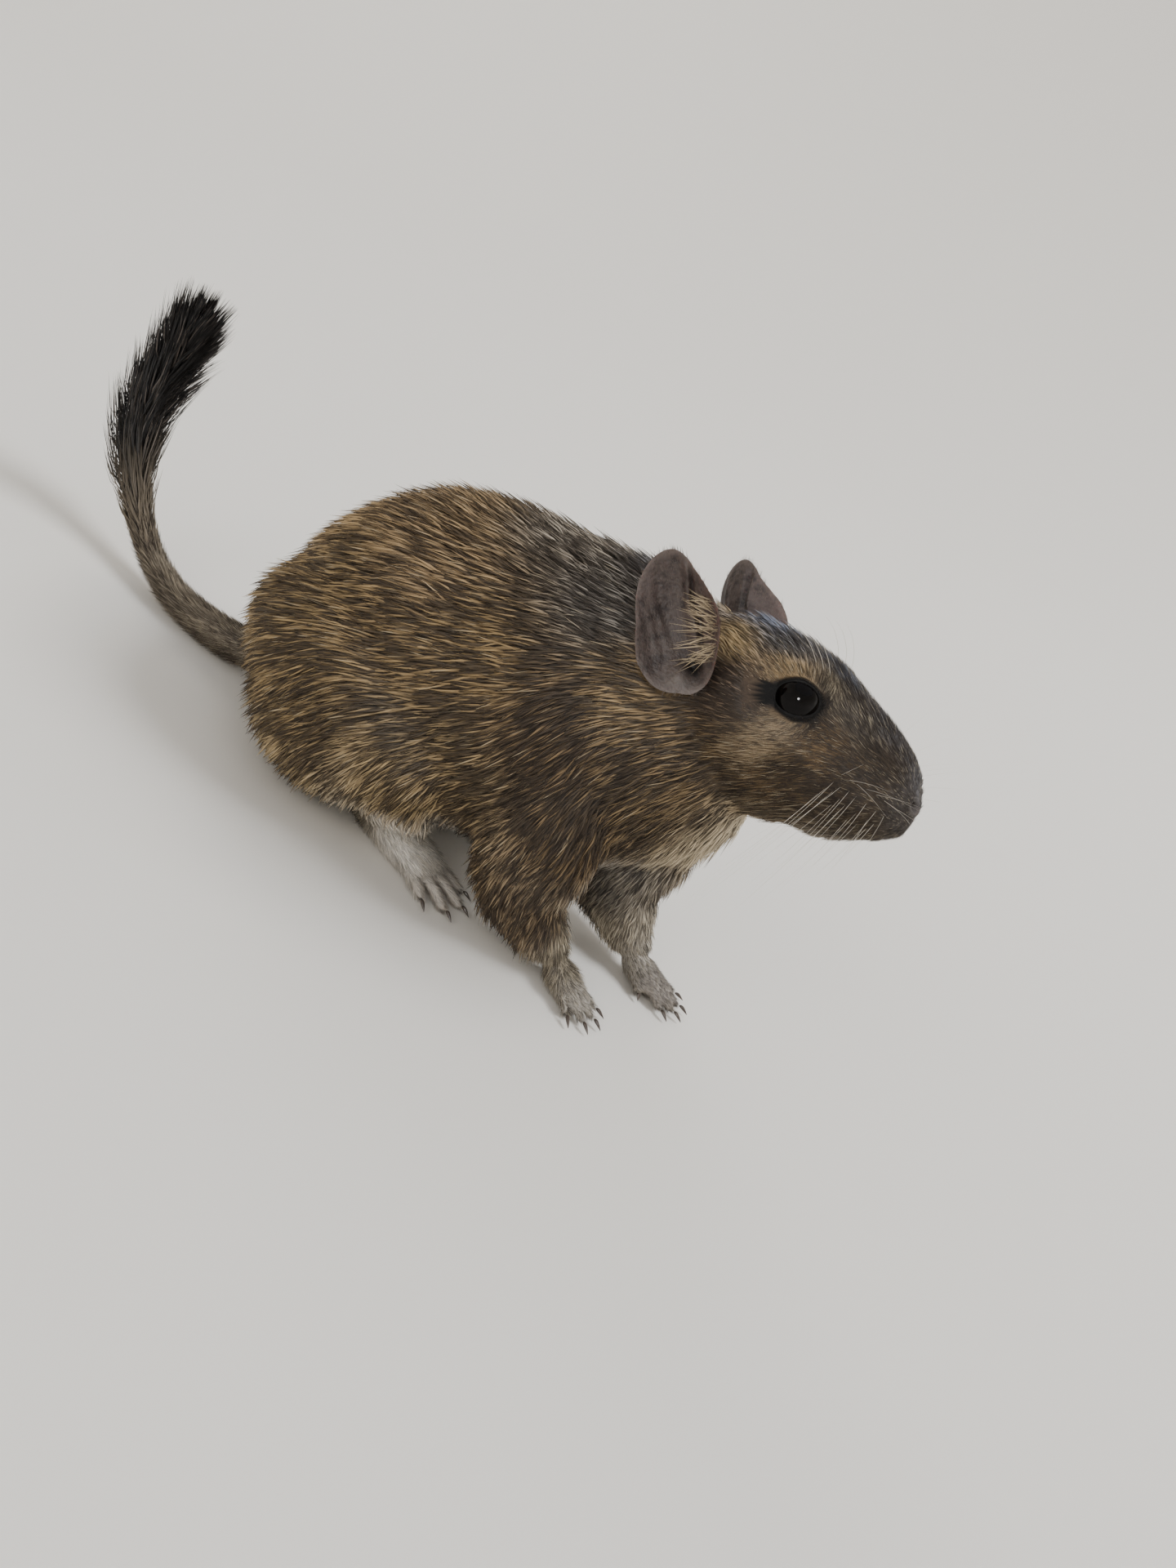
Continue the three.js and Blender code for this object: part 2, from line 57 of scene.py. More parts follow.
# Shapes are made in millimetres, with X to the nose, Y to the left and X counted from under the eyes.
eyeSpots = [(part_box(name)[0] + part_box(name)[1]) / 2 / mm for name in ("eye_right", "eye_left")]
shiftX = (eyeSpots[0].x + eyeSpots[1].x) / 2 + 2
head = {"place": np.array([-1.0, 0, 74]), "roll": math.radians(-4)}
rollMatrix = np.array(Matrix.Rotation(head["roll"], 3, "X"))
sides = ((-1, "right"), (1, "left"))


def toMetres(points):
    return (np.asarray(points, float) + [shiftX, 0, 0]) * mm


def fromMetres(points):
    return np.asarray(points, float) / mm - [shiftX, 0, 0]


def toHead(points):
    return (np.asarray(points, float) - head["place"]) @ rollMatrix


def fromHead(points):
    return np.asarray(points, float) @ rollMatrix.T + head["place"]


def unit(vectors):
    vectors = np.asarray(vectors, float)
    return vectors / np.maximum(np.linalg.norm(vectors, axis=-1, keepdims=True), 1e-9)


def mirrored(spot, side):
    return np.array([spot[0], spot[1] * side, spot[2]], float)


def alongSkin(vectors, up):
    # what is left of the vectors without their share along the normals
    return vectors - up * (vectors * up).sum(-1, keepdims=True)


def treeOf(points):
    tree = KDTree(len(points))
    for index, point in enumerate(points):
        tree.insert(point, index)
    tree.balance()
    return tree


def ramp(value, low, high):
    t = np.clip((np.asarray(value, float) - low) / (high - low), 0, 1)
    return t * t * (3 - 2 * t)


def mix(a, b, share):
    share = np.asarray(share, float)
    if np.ndim(a) > share.ndim or np.ndim(b) > share.ndim:
        share = share[..., None]
    return a + (b - a) * share


def waves(points, size, seed):
    # a cheap smooth noise from -1 to 1 with features of about that size in millimetres
    random = np.random.RandomState(seed)
    total = np.zeros(len(points))
    for _ in range(7):
        way = unit(random.normal(size=3)) * random.uniform(0.7, 1.6) * 2 * math.pi / size
        bend = 1.3 * np.sin(points @ way[[1, 2, 0]] * 0.6)
        total += np.sin(points @ way + random.uniform(0, 6.28) + bend)
    return total / 4


def linear(red, green, blue):
    # a screen colour of 0 to 255 as the linear colour that a shader takes
    return np.array([(c / 255) ** 2.2 for c in (red, green, blue)])


def newObject(name, mesh, materials=()):
    thing = bpy.data.objects.new(name, mesh)
    bpy.context.scene.collection.objects.link(thing)
    for material in materials:
        mesh.materials.append(material)
    return thing


def smoothAll(mesh):
    mesh.polygons.foreach_set("use_smooth", np.full(len(mesh.polygons), True))


def meshFrom(name, points, faces):
    # a mesh of triangles or quads, from points in millimetres
    mesh = bpy.data.meshes.new(name)
    points = toMetres(points).astype(np.float32)
    faces = np.asarray(faces, np.int32)
    mesh.vertices.add(len(points))
    mesh.vertices.foreach_set("co", points.ravel())
    mesh.loops.add(faces.size)
    mesh.loops.foreach_set("vertex_index", faces.ravel())
    mesh.polygons.add(len(faces))
    mesh.polygons.foreach_set("loop_start", np.arange(0, faces.size, faces.shape[1], dtype=np.int32))
    smoothAll(mesh)
    mesh.update(calc_edges=True)
    return mesh


def setColour(mesh, colours):
    layer = mesh.color_attributes.new("coat", "FLOAT_COLOR", "POINT")
    layer.data.foreach_set("color", np.c_[colours, np.ones(len(colours))].astype(np.float32).ravel())


# Materials
def material(name, colour=(0.5, 0.5, 0.5), roughness=0.6, **sockets):
    made = bpy.data.materials.new(name)
    made.use_nodes = True
    shader = made.node_tree.nodes["Principled BSDF"]
    shader.inputs["Base Color"].default_value = (*colour, 1)
    shader.inputs["Roughness"].default_value = roughness
    for key, value in sockets.items():
        shader.inputs[key.replace("_", " ")].default_value = value
    return made


def addNode(made, kind, **settings):
    node = made.node_tree.nodes.new(kind)
    for key, value in settings.items():
        setattr(node, key, value)
    return node


def link(made, source, target):
    made.node_tree.links.new(source, target)


def painted(made):
    node = addNode(made, "ShaderNodeAttribute", attribute_name="coat")
    link(made, node.outputs["Color"], made.node_tree.nodes["Principled BSDF"].inputs["Base Color"])


def bumped(made, scale, strength, distance, detail=3.0):
    where = addNode(made, "ShaderNodeTexCoord")
    noise = addNode(made, "ShaderNodeTexNoise")
    noise.inputs["Scale"].default_value = scale
    noise.inputs["Detail"].default_value = detail
    bump = addNode(made, "ShaderNodeBump")
    bump.inputs["Strength"].default_value = strength
    bump.inputs["Distance"].default_value = distance
    link(made, where.outputs["Object"], noise.inputs["Vector"])
    link(made, noise.outputs["Fac"], bump.inputs["Height"])
    link(made, bump.outputs["Normal"], made.node_tree.nodes["Principled BSDF"].inputs["Normal"])


skinLook = material("degu_skin", roughness=0.78, Specular_IOR_Level=0.25)
painted(skinLook)
bumped(skinLook, 2600, 0.5, 0.0002)
furLook = material("degu_fur", roughness=0.62, Specular_IOR_Level=0.3)
painted(furLook)
earLook = material("ear_skin", roughness=0.55, Specular_IOR_Level=0.3, Subsurface_Weight=0.06,
                   Subsurface_Scale=0.001)
painted(earLook)
bumped(earLook, 1300, 0.7, 0.0005, 5.0)
eyeLook = material("eye_black", (0.0025, 0.002, 0.0018), 0.05, Specular_IOR_Level=0.12)
hornLook = material("claw_horn", linear(72, 62, 56), 0.38)
whiskerLook = material("whisker", linear(204, 196, 182), 0.4)

# The coat by named places: lie of the hair, its length, the coat's depth, the light colour, its dark share
tan = linear(164, 138, 100)
cream = linear(208, 192, 164)
whitish = linear(206, 200, 190)
coatPlaces = {
    "noseTop": [(25, 0, 79), (-1, 0, 0.35), 1.2, 0.35, linear(114, 113, 116), 0.32],
    "noseSide": [(24, 5, 75), (-0.9, 0.35, 0.1), 1.3, 0.35, linear(98, 94, 92), 0.4],
    "bridge": [(14, 0, 85), (-1, 0, 0.3), 2.6, 0.8, linear(122, 120, 122), 0.5],
    "muzzleSide": [(17, 8, 76), (-0.95, 0.15, -0.1), 2.4, 0.7, linear(112, 92, 64), 0.64],
    "lip": [(19, 7.5, 67.5), (-0.9, 0.1, -0.4), 2.0, 0.5, linear(106, 95, 80), 0.52],
    "chin": [(18, 0, 61), (-0.9, 0, -0.5), 2.6, 0.8, linear(160, 150, 134), 0.2],
    # forehead: grey fur, tinted blue as a painted reflection of cool light
    "foreheadPaintedBlueReflection": [(3, 0, 89.5), (-1, 0, 0.1), 3.8, 1.2, linear(122, 128, 140), 0.56],
    "overEye": [(-5, 12.6, 83.5), (-0.9, 0.2, 0.2), 2.3, 0.9, linear(196, 166, 122), 0.2],
    "beforeEye": [(7, 10.6, 78), (-0.9, 0.2, -0.3), 2.1, 0.8, linear(140, 112, 74), 0.55],
    "underEye": [(-1, 15.9, 73), (-0.9, 0.05, -0.35), 2.3, 0.9, linear(190, 166, 132), 0.22],
    "behindEye": [(-8, 16.5, 78), (-0.95, 0.15, -0.1), 2.6, 1.0, linear(110, 92, 76), 0.72],
    "cheek": [(6, 13, 68), (-0.85, 0.1, -0.5), 4.2, 1.4, linear(130, 107, 76), 0.6],
    "jowl": [(-9, 15, 62), (-0.8, 0.1, -0.6), 6.5, 2.2, linear(134, 112, 80), 0.64],
    "jaw": [(6, 6, 57), (-0.85, 0, -0.5), 6.0, 2.4, linear(148, 130, 102), 0.42],
    "throat": [(-2, 0, 52), (-0.7, 0, -0.75), 7.5, 2.8, cream, 0.1],
    "whiskerPad": [(18, 8.6, 70), (-0.9, 0.1, -0.4), 1.8, 0.5, linear(104, 88, 66), 0.7],
    "templeLow": [(-13, 16.5, 76), (-0.95, 0.1, -0.2), 3.2, 1.1, linear(112, 94, 78), 0.72],
    "browFront": [(3, 9.4, 84.2), (-0.95, 0.1, 0.2), 2.4, 0.8, linear(136, 124, 104), 0.55],
    "snoutRidge": [(9, 6.5, 84), (-1, 0.05, 0.25), 2.4, 0.8, linear(124, 116, 106), 0.55],
    "crownSide": [(-8, 7.5, 87.5), (-0.95, 0.1, 0.1), 3.6, 1.2, linear(138, 136, 136), 0.5],
    "jowlBack": [(-14, 18, 64), (-0.8, 0.1, -0.6), 6.5, 2.2, linear(138, 115, 82), 0.62],
    "neckLow": [(-12, 16, 50), (-0.6, 0, -0.75), 7.0, 2.4, linear(130, 110, 80), 0.58],
    "backSide": [(-70, 22, 62), (-0.86, 0, -0.5), 8.5, 2.8, linear(170, 143, 106), 0.45],
    # crown: grey fur, tinted blue as a painted reflection of cool light
    "crown": [(-14, 0, 90), (-1, 0, -0.05), 4.6, 1.5, linear(126, 134, 152), 0.52],
    "beforeEar": [(-18, 12, 82.5), (-0.85, 0.2, 0.3), 3.8, 1.2, linear(186, 160, 118), 0.25],
    "behindEar": [(-36, 17, 78), (-0.9, 0.05, -0.4), 6.0, 2.3, linear(136, 130, 122), 0.56],
    # nape: grey fur, darkened further as painted shade between the ears
    "napePaintedShade": [(-36, 0, 87), (-0.95, 0, -0.3), 7.0, 2.4, linear(122, 122, 125), 0.72],
    "withers": [(-54, 0, 78), (-0.9, 0, -0.4), 8.0, 2.6, linear(152, 142, 128), 0.54],
    "back": [(-80, 0, 70), (-0.86, 0, -0.5), 8.5, 2.8, linear(162, 137, 103), 0.5],
    "rumpTop": [(-101, 0, 48), (-0.75, 0, -0.65), 8.5, 2.8, linear(192, 162, 118), 0.36],
    "tailHead": [(-114, 0, 22), (-0.85, 0, -0.4), 7.0, 2.2, linear(160, 138, 106), 0.35],
    "sideNeck": [(-24, 20, 66), (-0.75, 0.05, -0.65), 7.0, 2.4, tan, 0.42],
    "shoulder": [(-30, 24, 54), (-0.45, 0.05, -0.9), 7.0, 2.4, linear(128, 106, 77), 0.7],
    "ribs": [(-54, 27, 56), (-0.8, 0, -0.6), 8.0, 2.7, linear(160, 134, 94), 0.5],
    "flank": [(-72, 30, 48), (-0.85, 0, -0.5), 8.0, 2.7, linear(154, 129, 91), 0.48],
    "lowFlank": [(-48, 24, 30), (-0.8, 0, -0.6), 7.5, 2.5, linear(152, 130, 95), 0.5],
    "haunchTop": [(-88, 28, 44), (-0.82, 0.05, -0.55), 8.0, 2.6, linear(154, 130, 92), 0.48],
    "haunch": [(-78, 35, 28), (-0.6, 0, -0.8), 7.5, 2.4, linear(148, 125, 88), 0.5],
    "haunchRear": [(-104, 19, 26), (-0.6, 0, -0.8), 7.5, 2.5, linear(152, 128, 90), 0.46],
    "haunchLow": [(-80, 30, 9), (-0.35, 0, -0.95), 8.5, 1.7, linear(170, 148, 112), 0.35],
    "knee": [(-50, 28, 22), (-0.4, 0, -0.9), 6.0, 1.9, linear(176, 152, 112), 0.3],
    "breast": [(2, 0, 44), (-0.2, 0, -1), 8.0, 2.7, linear(192, 176, 148), 0.14],
    # lower chest: pale fur, darkened as painted shade near the forelegs
    "chestLowPaintedShade": [(-14, 0, 24), (-0.8, 0, -0.6), 8.0, 2.6, linear(176, 168, 156), 0.12],
    "belly": [(-60, 0, 3), (-1, 0, 0), 7.0, 2.3, whitish, 0.05],
    "elbow": [(-34, 16, 14), (-0.2, 0, -1), 6.5, 1.9, linear(140, 118, 86), 0.55],
    "upperArm": [(-16, 22, 38), (-0.2, 0.05, -1), 6.5, 2.2, linear(124, 103, 74), 0.68],
    "forearm": [(-20, 16, 14), (0.1, 0, -1), 5.2, 1.4, linear(128, 109, 84), 0.56],
    # inner arm: darkened as painted shade on the foreleg's inner side
    "innerArmPaintedShade": [(-14, 5, 18), (-0.1, 0, -1), 4.4, 1.3, linear(144, 136, 124), 0.25],
    # wrist: pale fur, a little darkened as painted shade
    "wristPaintedShade": [(-9, 11.5, 8), (0.35, 0, -0.95), 3.4, 0.6, linear(180, 168, 146), 0.2],
    "forePaw": [(-3, 11.5, 4), (1, 0, -0.25), 2.0, 0.3, linear(196, 188, 176), 0.1],
    "foreToes": [(6, 11.5, 2), (1, 0, -0.1), 1.4, 0.2, linear(164, 156, 148), 0.1],
    "heel": [(-66, 13.5, 5), (-0.1, 0, -0.9), 5.0, 0.5, linear(214, 202, 180), 0.12],
    # hind foot: pale fur, raised nearly to white as painted light on its upturned top
    "hindFootPaintedLight": [(-52, 15.5, 6), (1, 0, -0.1), 3.4, 0.4, linear(250, 244, 234), 0],
    "hindToes": [(-37, 16.5, 3), (1, 0, -0.1), 1.9, 0.2, linear(220, 212, 202), 0.04],
}


def readCoat():
    rows = []
    for at, lie, length, depth, light, dark in coatPlaces.values():
        for side in (1, -1) if at[1] else (1,):
            rows.append([*mirrored(at, side), *unit(mirrored(lie, side)), length, depth, *light, dark])
    return np.array(rows, float)


coatRows = readCoat()


def coatAt(points):
    # lie, length, depth, light colour and dark share at each point, from the places near it
    found = np.zeros((len(points), 9))
    batch, soften, sharpness = 20000, 9, -2.6
    for start in range(0, len(points), batch):
        part = points[start:start + batch]
        distance = ((part[:, None, :] - coatRows[None, :, :3]) ** 2).sum(2)
        weight = (distance + soften) ** sharpness
        weight /= weight.sum(1, keepdims=True)
        found[start:start + batch] = weight @ coatRows[:, 3:]
    return found


# Tail
tail = {
    "spine": [(-104, -0.8, 12.5), (-111, -2.2, 8.4), (-123, -4.6, 5.2), (-138, -5.6, 4.4),
              (-151.5, -4.2, 6.4), (-164.5, -1.4, 12.4), (-173.5, 0.8, 21.3), (-177.2, 2, 31.3),
              (-176.8, 2.3, 41), (-174.2, 1.6, 50), (-173, 1.1, 54)],
    "radii": [5, 4.8, 4.4, 3.7, 3.0, 2.5, 2.1, 1.8, 1.5, 1.1, 0.5],
    "pale": linear(152, 140, 122),
    "dark": linear(62, 54, 49),
    "darkFrom": (0.36, 0.52),  # share of the length where the pale tail turns dark
    "darkShare": (0.34, 0.84),
}


def curveThrough(points, count):
    # evenly numbered points on a Catmull-Rom curve
    points = np.array(points, float)
    padded = np.vstack([2 * points[0] - points[1], points, 2 * points[-1] - points[-2]])
    places = np.linspace(0, len(points) - 1 - 1e-6, count)
    k = places.astype(int)
    t = (places - k)[:, None]
    a, b, c, d = padded[k], padded[k + 1], padded[k + 2], padded[k + 3]
    square, cube = 2 * a - 5 * b + 4 * c - d, 3 * b - a - 3 * c + d
    return 0.5 * (2 * b + (c - a) * t + square * t ** 2 + cube * t ** 3)


tailSteps = 160
tailSpine = curveThrough(tail["spine"], tailSteps)
tailRadii = curveThrough([(r, 0, 0) for r in tail["radii"]], tailSteps)[:, 0]
tailWay = unit(np.gradient(tailSpine, axis=0))
tailTree = treeOf(tailSpine)
tailFront = -105  # nothing before this place is tail


def tailPlace(points):
    # for each point the nearest step of the tail's spine, and how much the point is on the tail
    step, share = np.zeros(len(points), int), np.zeros(len(points))
    for index in np.flatnonzero(points[:, 0] < tailFront):
        _, step[index], far = tailTree.find(points[index])
        share[index] = 1 - ramp(far - tailRadii[step[index]], 1.5, 4.5)
    return step, share * ramp(-points[:, 0], 106, 113)


def tubeAlong(spine, radii, corners):
    # points and quads of a tube, open at both ends
    way = unit(np.gradient(spine, axis=0))
    side = unit(np.cross(way, [0.0, 0.35, 1.0]))
    up = np.cross(side, way)
    angle = np.linspace(0, 2 * math.pi, corners, endpoint=False)
    ring = side[:, None] * np.cos(angle)[None, :, None] + up[:, None] * np.sin(angle)[None, :, None]
    points = (spine[:, None] + ring * np.asarray(radii)[:, None, None]).reshape(-1, 3)
    rows = np.arange(len(spine) - 1)[:, None] * corners
    now = np.arange(corners)[None, :]
    after = (now + 1) % corners
    quads = np.stack([rows + now, rows + after, rows + corners + after, rows + corners + now], 2)
    return points, quads.reshape(-1, 4)


# Skin: the flesh of the solids joined, remeshed, made smooth and moved in by the coat's depth
skin = {
    "voxel": 0.62,
    "flesh": {"torso": 0.35, "neck": 0.35, "head": 0.25, "leg_hind_right": 0.35, "leg_hind_left": 0.35,
              "leg_fore_right": 0.35, "leg_fore_left": 0.35, "foot_hind_right": 0.05,
              "foot_hind_left": 0.05, "foot_fore_right": 0.05, "foot_fore_left": 0.05, "eye_right": 0.3,
              "eye_left": 0.3},
    "earRoot": {"at": (-22.5, 13.6, 0.5), "size": (5.5, 4.5, 6.5)},
    "tailSides": 20,
    "fineBefore": 12.5,  # the snout before this place and the eyes' surrounds get a finer mesh
    "fineEye": 8.5,
    "floor": 0.05,
}


def joinFlesh():
    whole = bmesh.new()
    for name, grow in skin["flesh"].items():
        part = bmesh.new()
        part.from_mesh(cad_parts[name].data)
        bmesh.ops.remove_doubles(part, verts=part.verts, dist=1e-7)
        part.normal_update()
        for vert in part.verts:
            vert.co += vert.normal * grow * mm
        copy = bpy.data.meshes.new("copy")
        part.to_mesh(copy)
        whole.from_mesh(copy)
        bpy.data.meshes.remove(copy)
        part.free()
    root = skin["earRoot"]
    for side in (1, -1):
        spot = fromHead([mirrored(root["at"], side)])
        shape = Matrix.LocRotScale(Vector(toMetres(spot)[0]), None, Vector(root["size"]) * mm)
        bmesh.ops.create_uvsphere(whole, u_segments=24, v_segments=16, radius=1, matrix=shape)
    mesh = bpy.data.meshes.new("flesh")
    whole.to_mesh(mesh)
    whole.free()
    points, quads = tubeAlong(tailSpine, tailRadii, skin["tailSides"])
    tailMesh = meshFrom("tail", points, quads)
    joined = bmesh.new()
    joined.from_mesh(mesh)
    joined.from_mesh(tailMesh)
    bmesh.ops.holes_fill(joined, edges=[e for e in joined.edges if e.is_boundary])
    joined.to_mesh(mesh)
    joined.free()
    return mesh


def remeshed(mesh, voxel):
    thing = newObject("remesh", mesh)
    change = thing.modifiers.new("remesh", "REMESH")
    change.mode = "VOXEL"
    change.voxel_size = voxel * mm
    bpy.context.view_layer.update()
    made = bpy.data.meshes.new_from_object(thing.evaluated_get(bpy.context.evaluated_depsgraph_get()))
    bpy.data.objects.remove(thing)
    return made


def readPoints(mesh):
    points = np.empty(len(mesh.vertices) * 3, np.float32)
    mesh.vertices.foreach_get("co", points)
    return fromMetres(points.reshape(-1, 3))


def readEdges(mesh):
    edges = np.empty(len(mesh.edges) * 2, np.int32)
    mesh.edges.foreach_get("vertices", edges)
    return edges.reshape(-1, 2)


def readNormals(mesh):
    normals = np.empty(len(mesh.vertices) * 3, np.float32)
    mesh.vertex_normals.foreach_get("vector", normals)
    return normals.reshape(-1, 3).astype(float)


def writePoints(mesh, points):
    mesh.vertices.foreach_set("co", toMetres(points).astype(np.float32).ravel())
    mesh.update()


def smoothed(values, edges, weight, times):
    values = np.array(values, float)
    flat = values.reshape(len(values), -1)
    first, second = edges[:, 0], edges[:, 1]
    count = np.maximum(np.bincount(edges.ravel(), minlength=len(flat)), 1)
    weight = np.broadcast_to(weight, len(flat))
    for _ in range(times):
        for k in range(flat.shape[1]):
            column = flat[:, k]
            total = np.bincount(first, column[second], len(flat))
            total += np.bincount(second, column[first], len(flat))
            flat[:, k] = column + weight * (total / count - column)
    return flat.reshape(values.shape)


def nearSegments(points, chain):
    # distance from each point to a chain of straight pieces
    best = np.full(len(points), 1e9)
    for a, b in zip(chain[:-1], chain[1:]):
        a, b = np.array(a, float), np.array(b, float)
        t = np.clip((points - a) @ (b - a) / ((b - a) @ (b - a)), 0, 1)
        best = np.minimum(best, np.linalg.norm(points - a - t[:, None] * (b - a), axis=1))
    return best


eye = {"at": (-1, 10.8, 5.6), "radius": 4.2, "gaze": (0.16, 0.93, 0.3), "along": (0.91, 0, 0.36),
       "wide": 74, "upper": 46, "lower": 45, "lidThick": 0.34, "almond": (5.9, 4.0)}
nostril = {"at": (26.3, 2.5, 1.6), "deep": 1.1, "rim": 0.35}
mouth = [(25.6, 0, -3.8), (24, 2.6, -5.6), (20.5, 4.8, -6.9), (16.5, 6.6, -7.0), (13.5, 7.9, -6.2)]
philtrum = [(27.4, 0, 0.8), (27, 0, -1.5), (25.6, 0, -3.8)]
cheekBone = [(6, 12, -1), (-4, 15, -1), (-12, 16, 2)]
# how far the face is cut in (below 0) or swells, and how wide that is
faceForms = {"mouth": (-0.95, 0.55), "lips": (0.35, 0.8), "philtrum": (-0.5, 0.45),
             "whiskerPad": (0.5, 3.6), "beforeEye": (-0.5, 4), "cheekBone": (0.5, 2.6)}
nosePad = (27.8, 0, -0.4)


def eyeFrame(side):
    centre = mirrored(eye["at"], side)
    gaze = unit(mirrored(eye["gaze"], side))
    along = np.array(eye["along"])
    forward = unit(along - gaze * (along @ gaze))
    return centre, forward, np.cross(gaze, forward) * -side, gaze


def eyeAngles(inHead, side):
    # distance from the eye's middle, angle from its gaze, and the lids' opening that way
    centre, forward, upward, gaze = eyeFrame(side)
    offset = inHead - centre
    distance = np.linalg.norm(offset, axis=1)
    way = offset / np.maximum(distance, 1e-6)[:, None]
    angle = np.degrees(np.arccos(np.clip(way @ gaze, -1, 1)))
    turn = np.arctan2(way @ upward, way @ forward)
    tall = np.where(np.sin(turn) > 0, eye["upper"], eye["lower"])
    opening = 1 / np.sqrt((np.cos(turn) / eye["wide"]) ** 2 + (np.sin(turn) / tall) ** 2)
    return centre, way, distance, angle, opening


def almond(inHead, side):
    # under 1 inside the dark almond of the lids, seen along the gaze
    centre, forward, upward, gaze = eyeFrame(side)
    offset = inHead - centre
    u, v = offset @ forward, offset @ upward
    long, high = eye["almond"]
    away = np.abs((u - 0.3) / long) ** 1.35 + np.abs((v + 0.1 * np.maximum(u, 0)) / high) ** 2
    return away + 4 * (offset @ gaze < -1.5)


def mouthLine(side):
    return [mirrored(spot, side) for spot in mouth]


def swell(name, away):
    move, wide = faceForms[name]
    return move * np.exp(-(away / wide) ** 2)


def sculptHead(points, normals):
    inHead = toHead(points)
    move = np.zeros(len(points))
    # mouth and the groove under the nose
    for side in (1, -1):
        away = nearSegments(inHead, mouthLine(side))
        move += swell("mouth", away) + swell("lips", away - 1.5) * ramp(inHead[:, 0], 13, 18)
    move += swell("philtrum", nearSegments(inHead, philtrum))
    # nose pad with two comma-shaped nostrils
    for side in (1, -1):
        offset = inHead - mirrored(nostril["at"], side)
        slant = offset[:, 2] - 0.35 * offset[:, 1] * side
        along = offset[:, 1] * side + 0.35 * offset[:, 2]
        away = np.sqrt((slant / 0.75) ** 2 + (along / 1.25) ** 2 + (offset[:, 0] / 2) ** 2)
        move -= nostril["deep"] * np.exp(-(away / 0.8) ** 2)
        move += nostril["rim"] * np.exp(-((away - 1.9) / 0.7) ** 2) * (away < 5)
    # whisker pads
    for side in (1, -1):
        away = np.linalg.norm((inHead - [19, 7.2 * side, -2.5]) / [1.25, 1, 1], axis=1)
        move += swell("whiskerPad", away)
    # the skull shows a little: hollow before and over the eye, cheek bone under it
    for side in (1, -1):
        move += swell("beforeEye", np.linalg.norm(inHead - [7, 9.5 * side, 6], axis=1))
        away = nearSegments(inHead, [mirrored(spot, side) for spot in cheekBone])
        move += swell("cheekBone", away)
    points = points + normals * move[:, None]
    # lids close round the eyeballs
    inHead = toHead(points)
    for side in (1, -1):
        centre, way, distance, angle, opening = eyeAngles(inHead, side)
        rim = eye["radius"] + eye["lidThick"]
        target = mix(eye["radius"] * 0.8, rim, ramp(angle, opening - 5, opening))
        stay = ramp(angle, opening + 3, opening + 30)
        near = 1 - ramp(distance, 7.5, 10.5)
        share = (1 - stay) * near * (angle < 115)
        inHead = inHead + way * ((target - distance) * share)[:, None]
    return fromHead(inHead)


def buildSkin():
    mesh = remeshed(joinFlesh(), skin["voxel"])
    say(f"skin remeshed to {len(mesh.vertices)} points")
    shape = bmesh.new()
    shape.from_mesh(mesh)
    centres = np.array([face.calc_center_median()[:] for face in shape.faces])
    inHead = toHead(fromMetres(centres))
    fine = inHead[:, 0] > skin["fineBefore"]
    for side in (1, -1):
        fine |= np.linalg.norm(inHead - mirrored(eye["at"], side), axis=1) < skin["fineEye"]
    shape.faces.ensure_lookup_table()
    chosen = {edge for index in np.flatnonzero(fine) for edge in shape.faces[index].edges}
    bmesh.ops.subdivide_edges(shape, edges=list(chosen), cuts=1, use_grid_fill=True)
    bmesh.ops.triangulate(shape, faces=[face for face in shape.faces if len(face.verts) > 4])
    shape.to_mesh(mesh)
    shape.free()
    points, edges = readPoints(mesh), readEdges(mesh)
    inHead = toHead(points)
    foot = 1 - ramp(feetAway(points), 5.5, 9)
    snout = ramp(inHead[:, 0], 8, 20)
    soft = 1 - 0.75 * foot - 0.45 * snout
    points = smoothed(points, edges, 0.5 * soft, 10)
    points = smoothed(points, edges, 0.5 * (1 - foot) * (1 - snout), 14)
    writePoints(mesh, points)
    depth = coatAt(points)[:, 4]
    depth = depth * (1 - tailPlace(points)[1])
    depth = smoothed(depth, edges, 0.6, 20)
    points = points - readNormals(mesh) * depth[:, None]
    points = smoothed(points, edges, 0.5 * (1 - foot) * (1 - 0.8 * snout), 8)
    writePoints(mesh, points)
    points = sculptHead(points, readNormals(mesh))
    points[:, 2] = np.maximum(points[:, 2], skin["floor"])
    writePoints(mesh, points)
    return mesh


footPlaces = {
    "foot_hind_right": ((-66.5, -13.5), math.radians(-7), 27),
    "foot_hind_left": ((-66, 13), math.radians(9), 27),
    "foot_fore_right": ((-10.5, -11.5), math.radians(-13), 9),
    "foot_fore_left": ((-1, 10.5), math.radians(4), 9),
}


def footChain(name):
    (x, y), turn, length = footPlaces[name]
    return [(x, y, 3), (x + length * math.cos(turn), y + length * math.sin(turn), 2)]


def feetAway(points):
    return np.minimum.reduce([nearSegments(points, footChain(name)) for name in footPlaces])


skinMesh = buildSkin()
say("skin shaped")


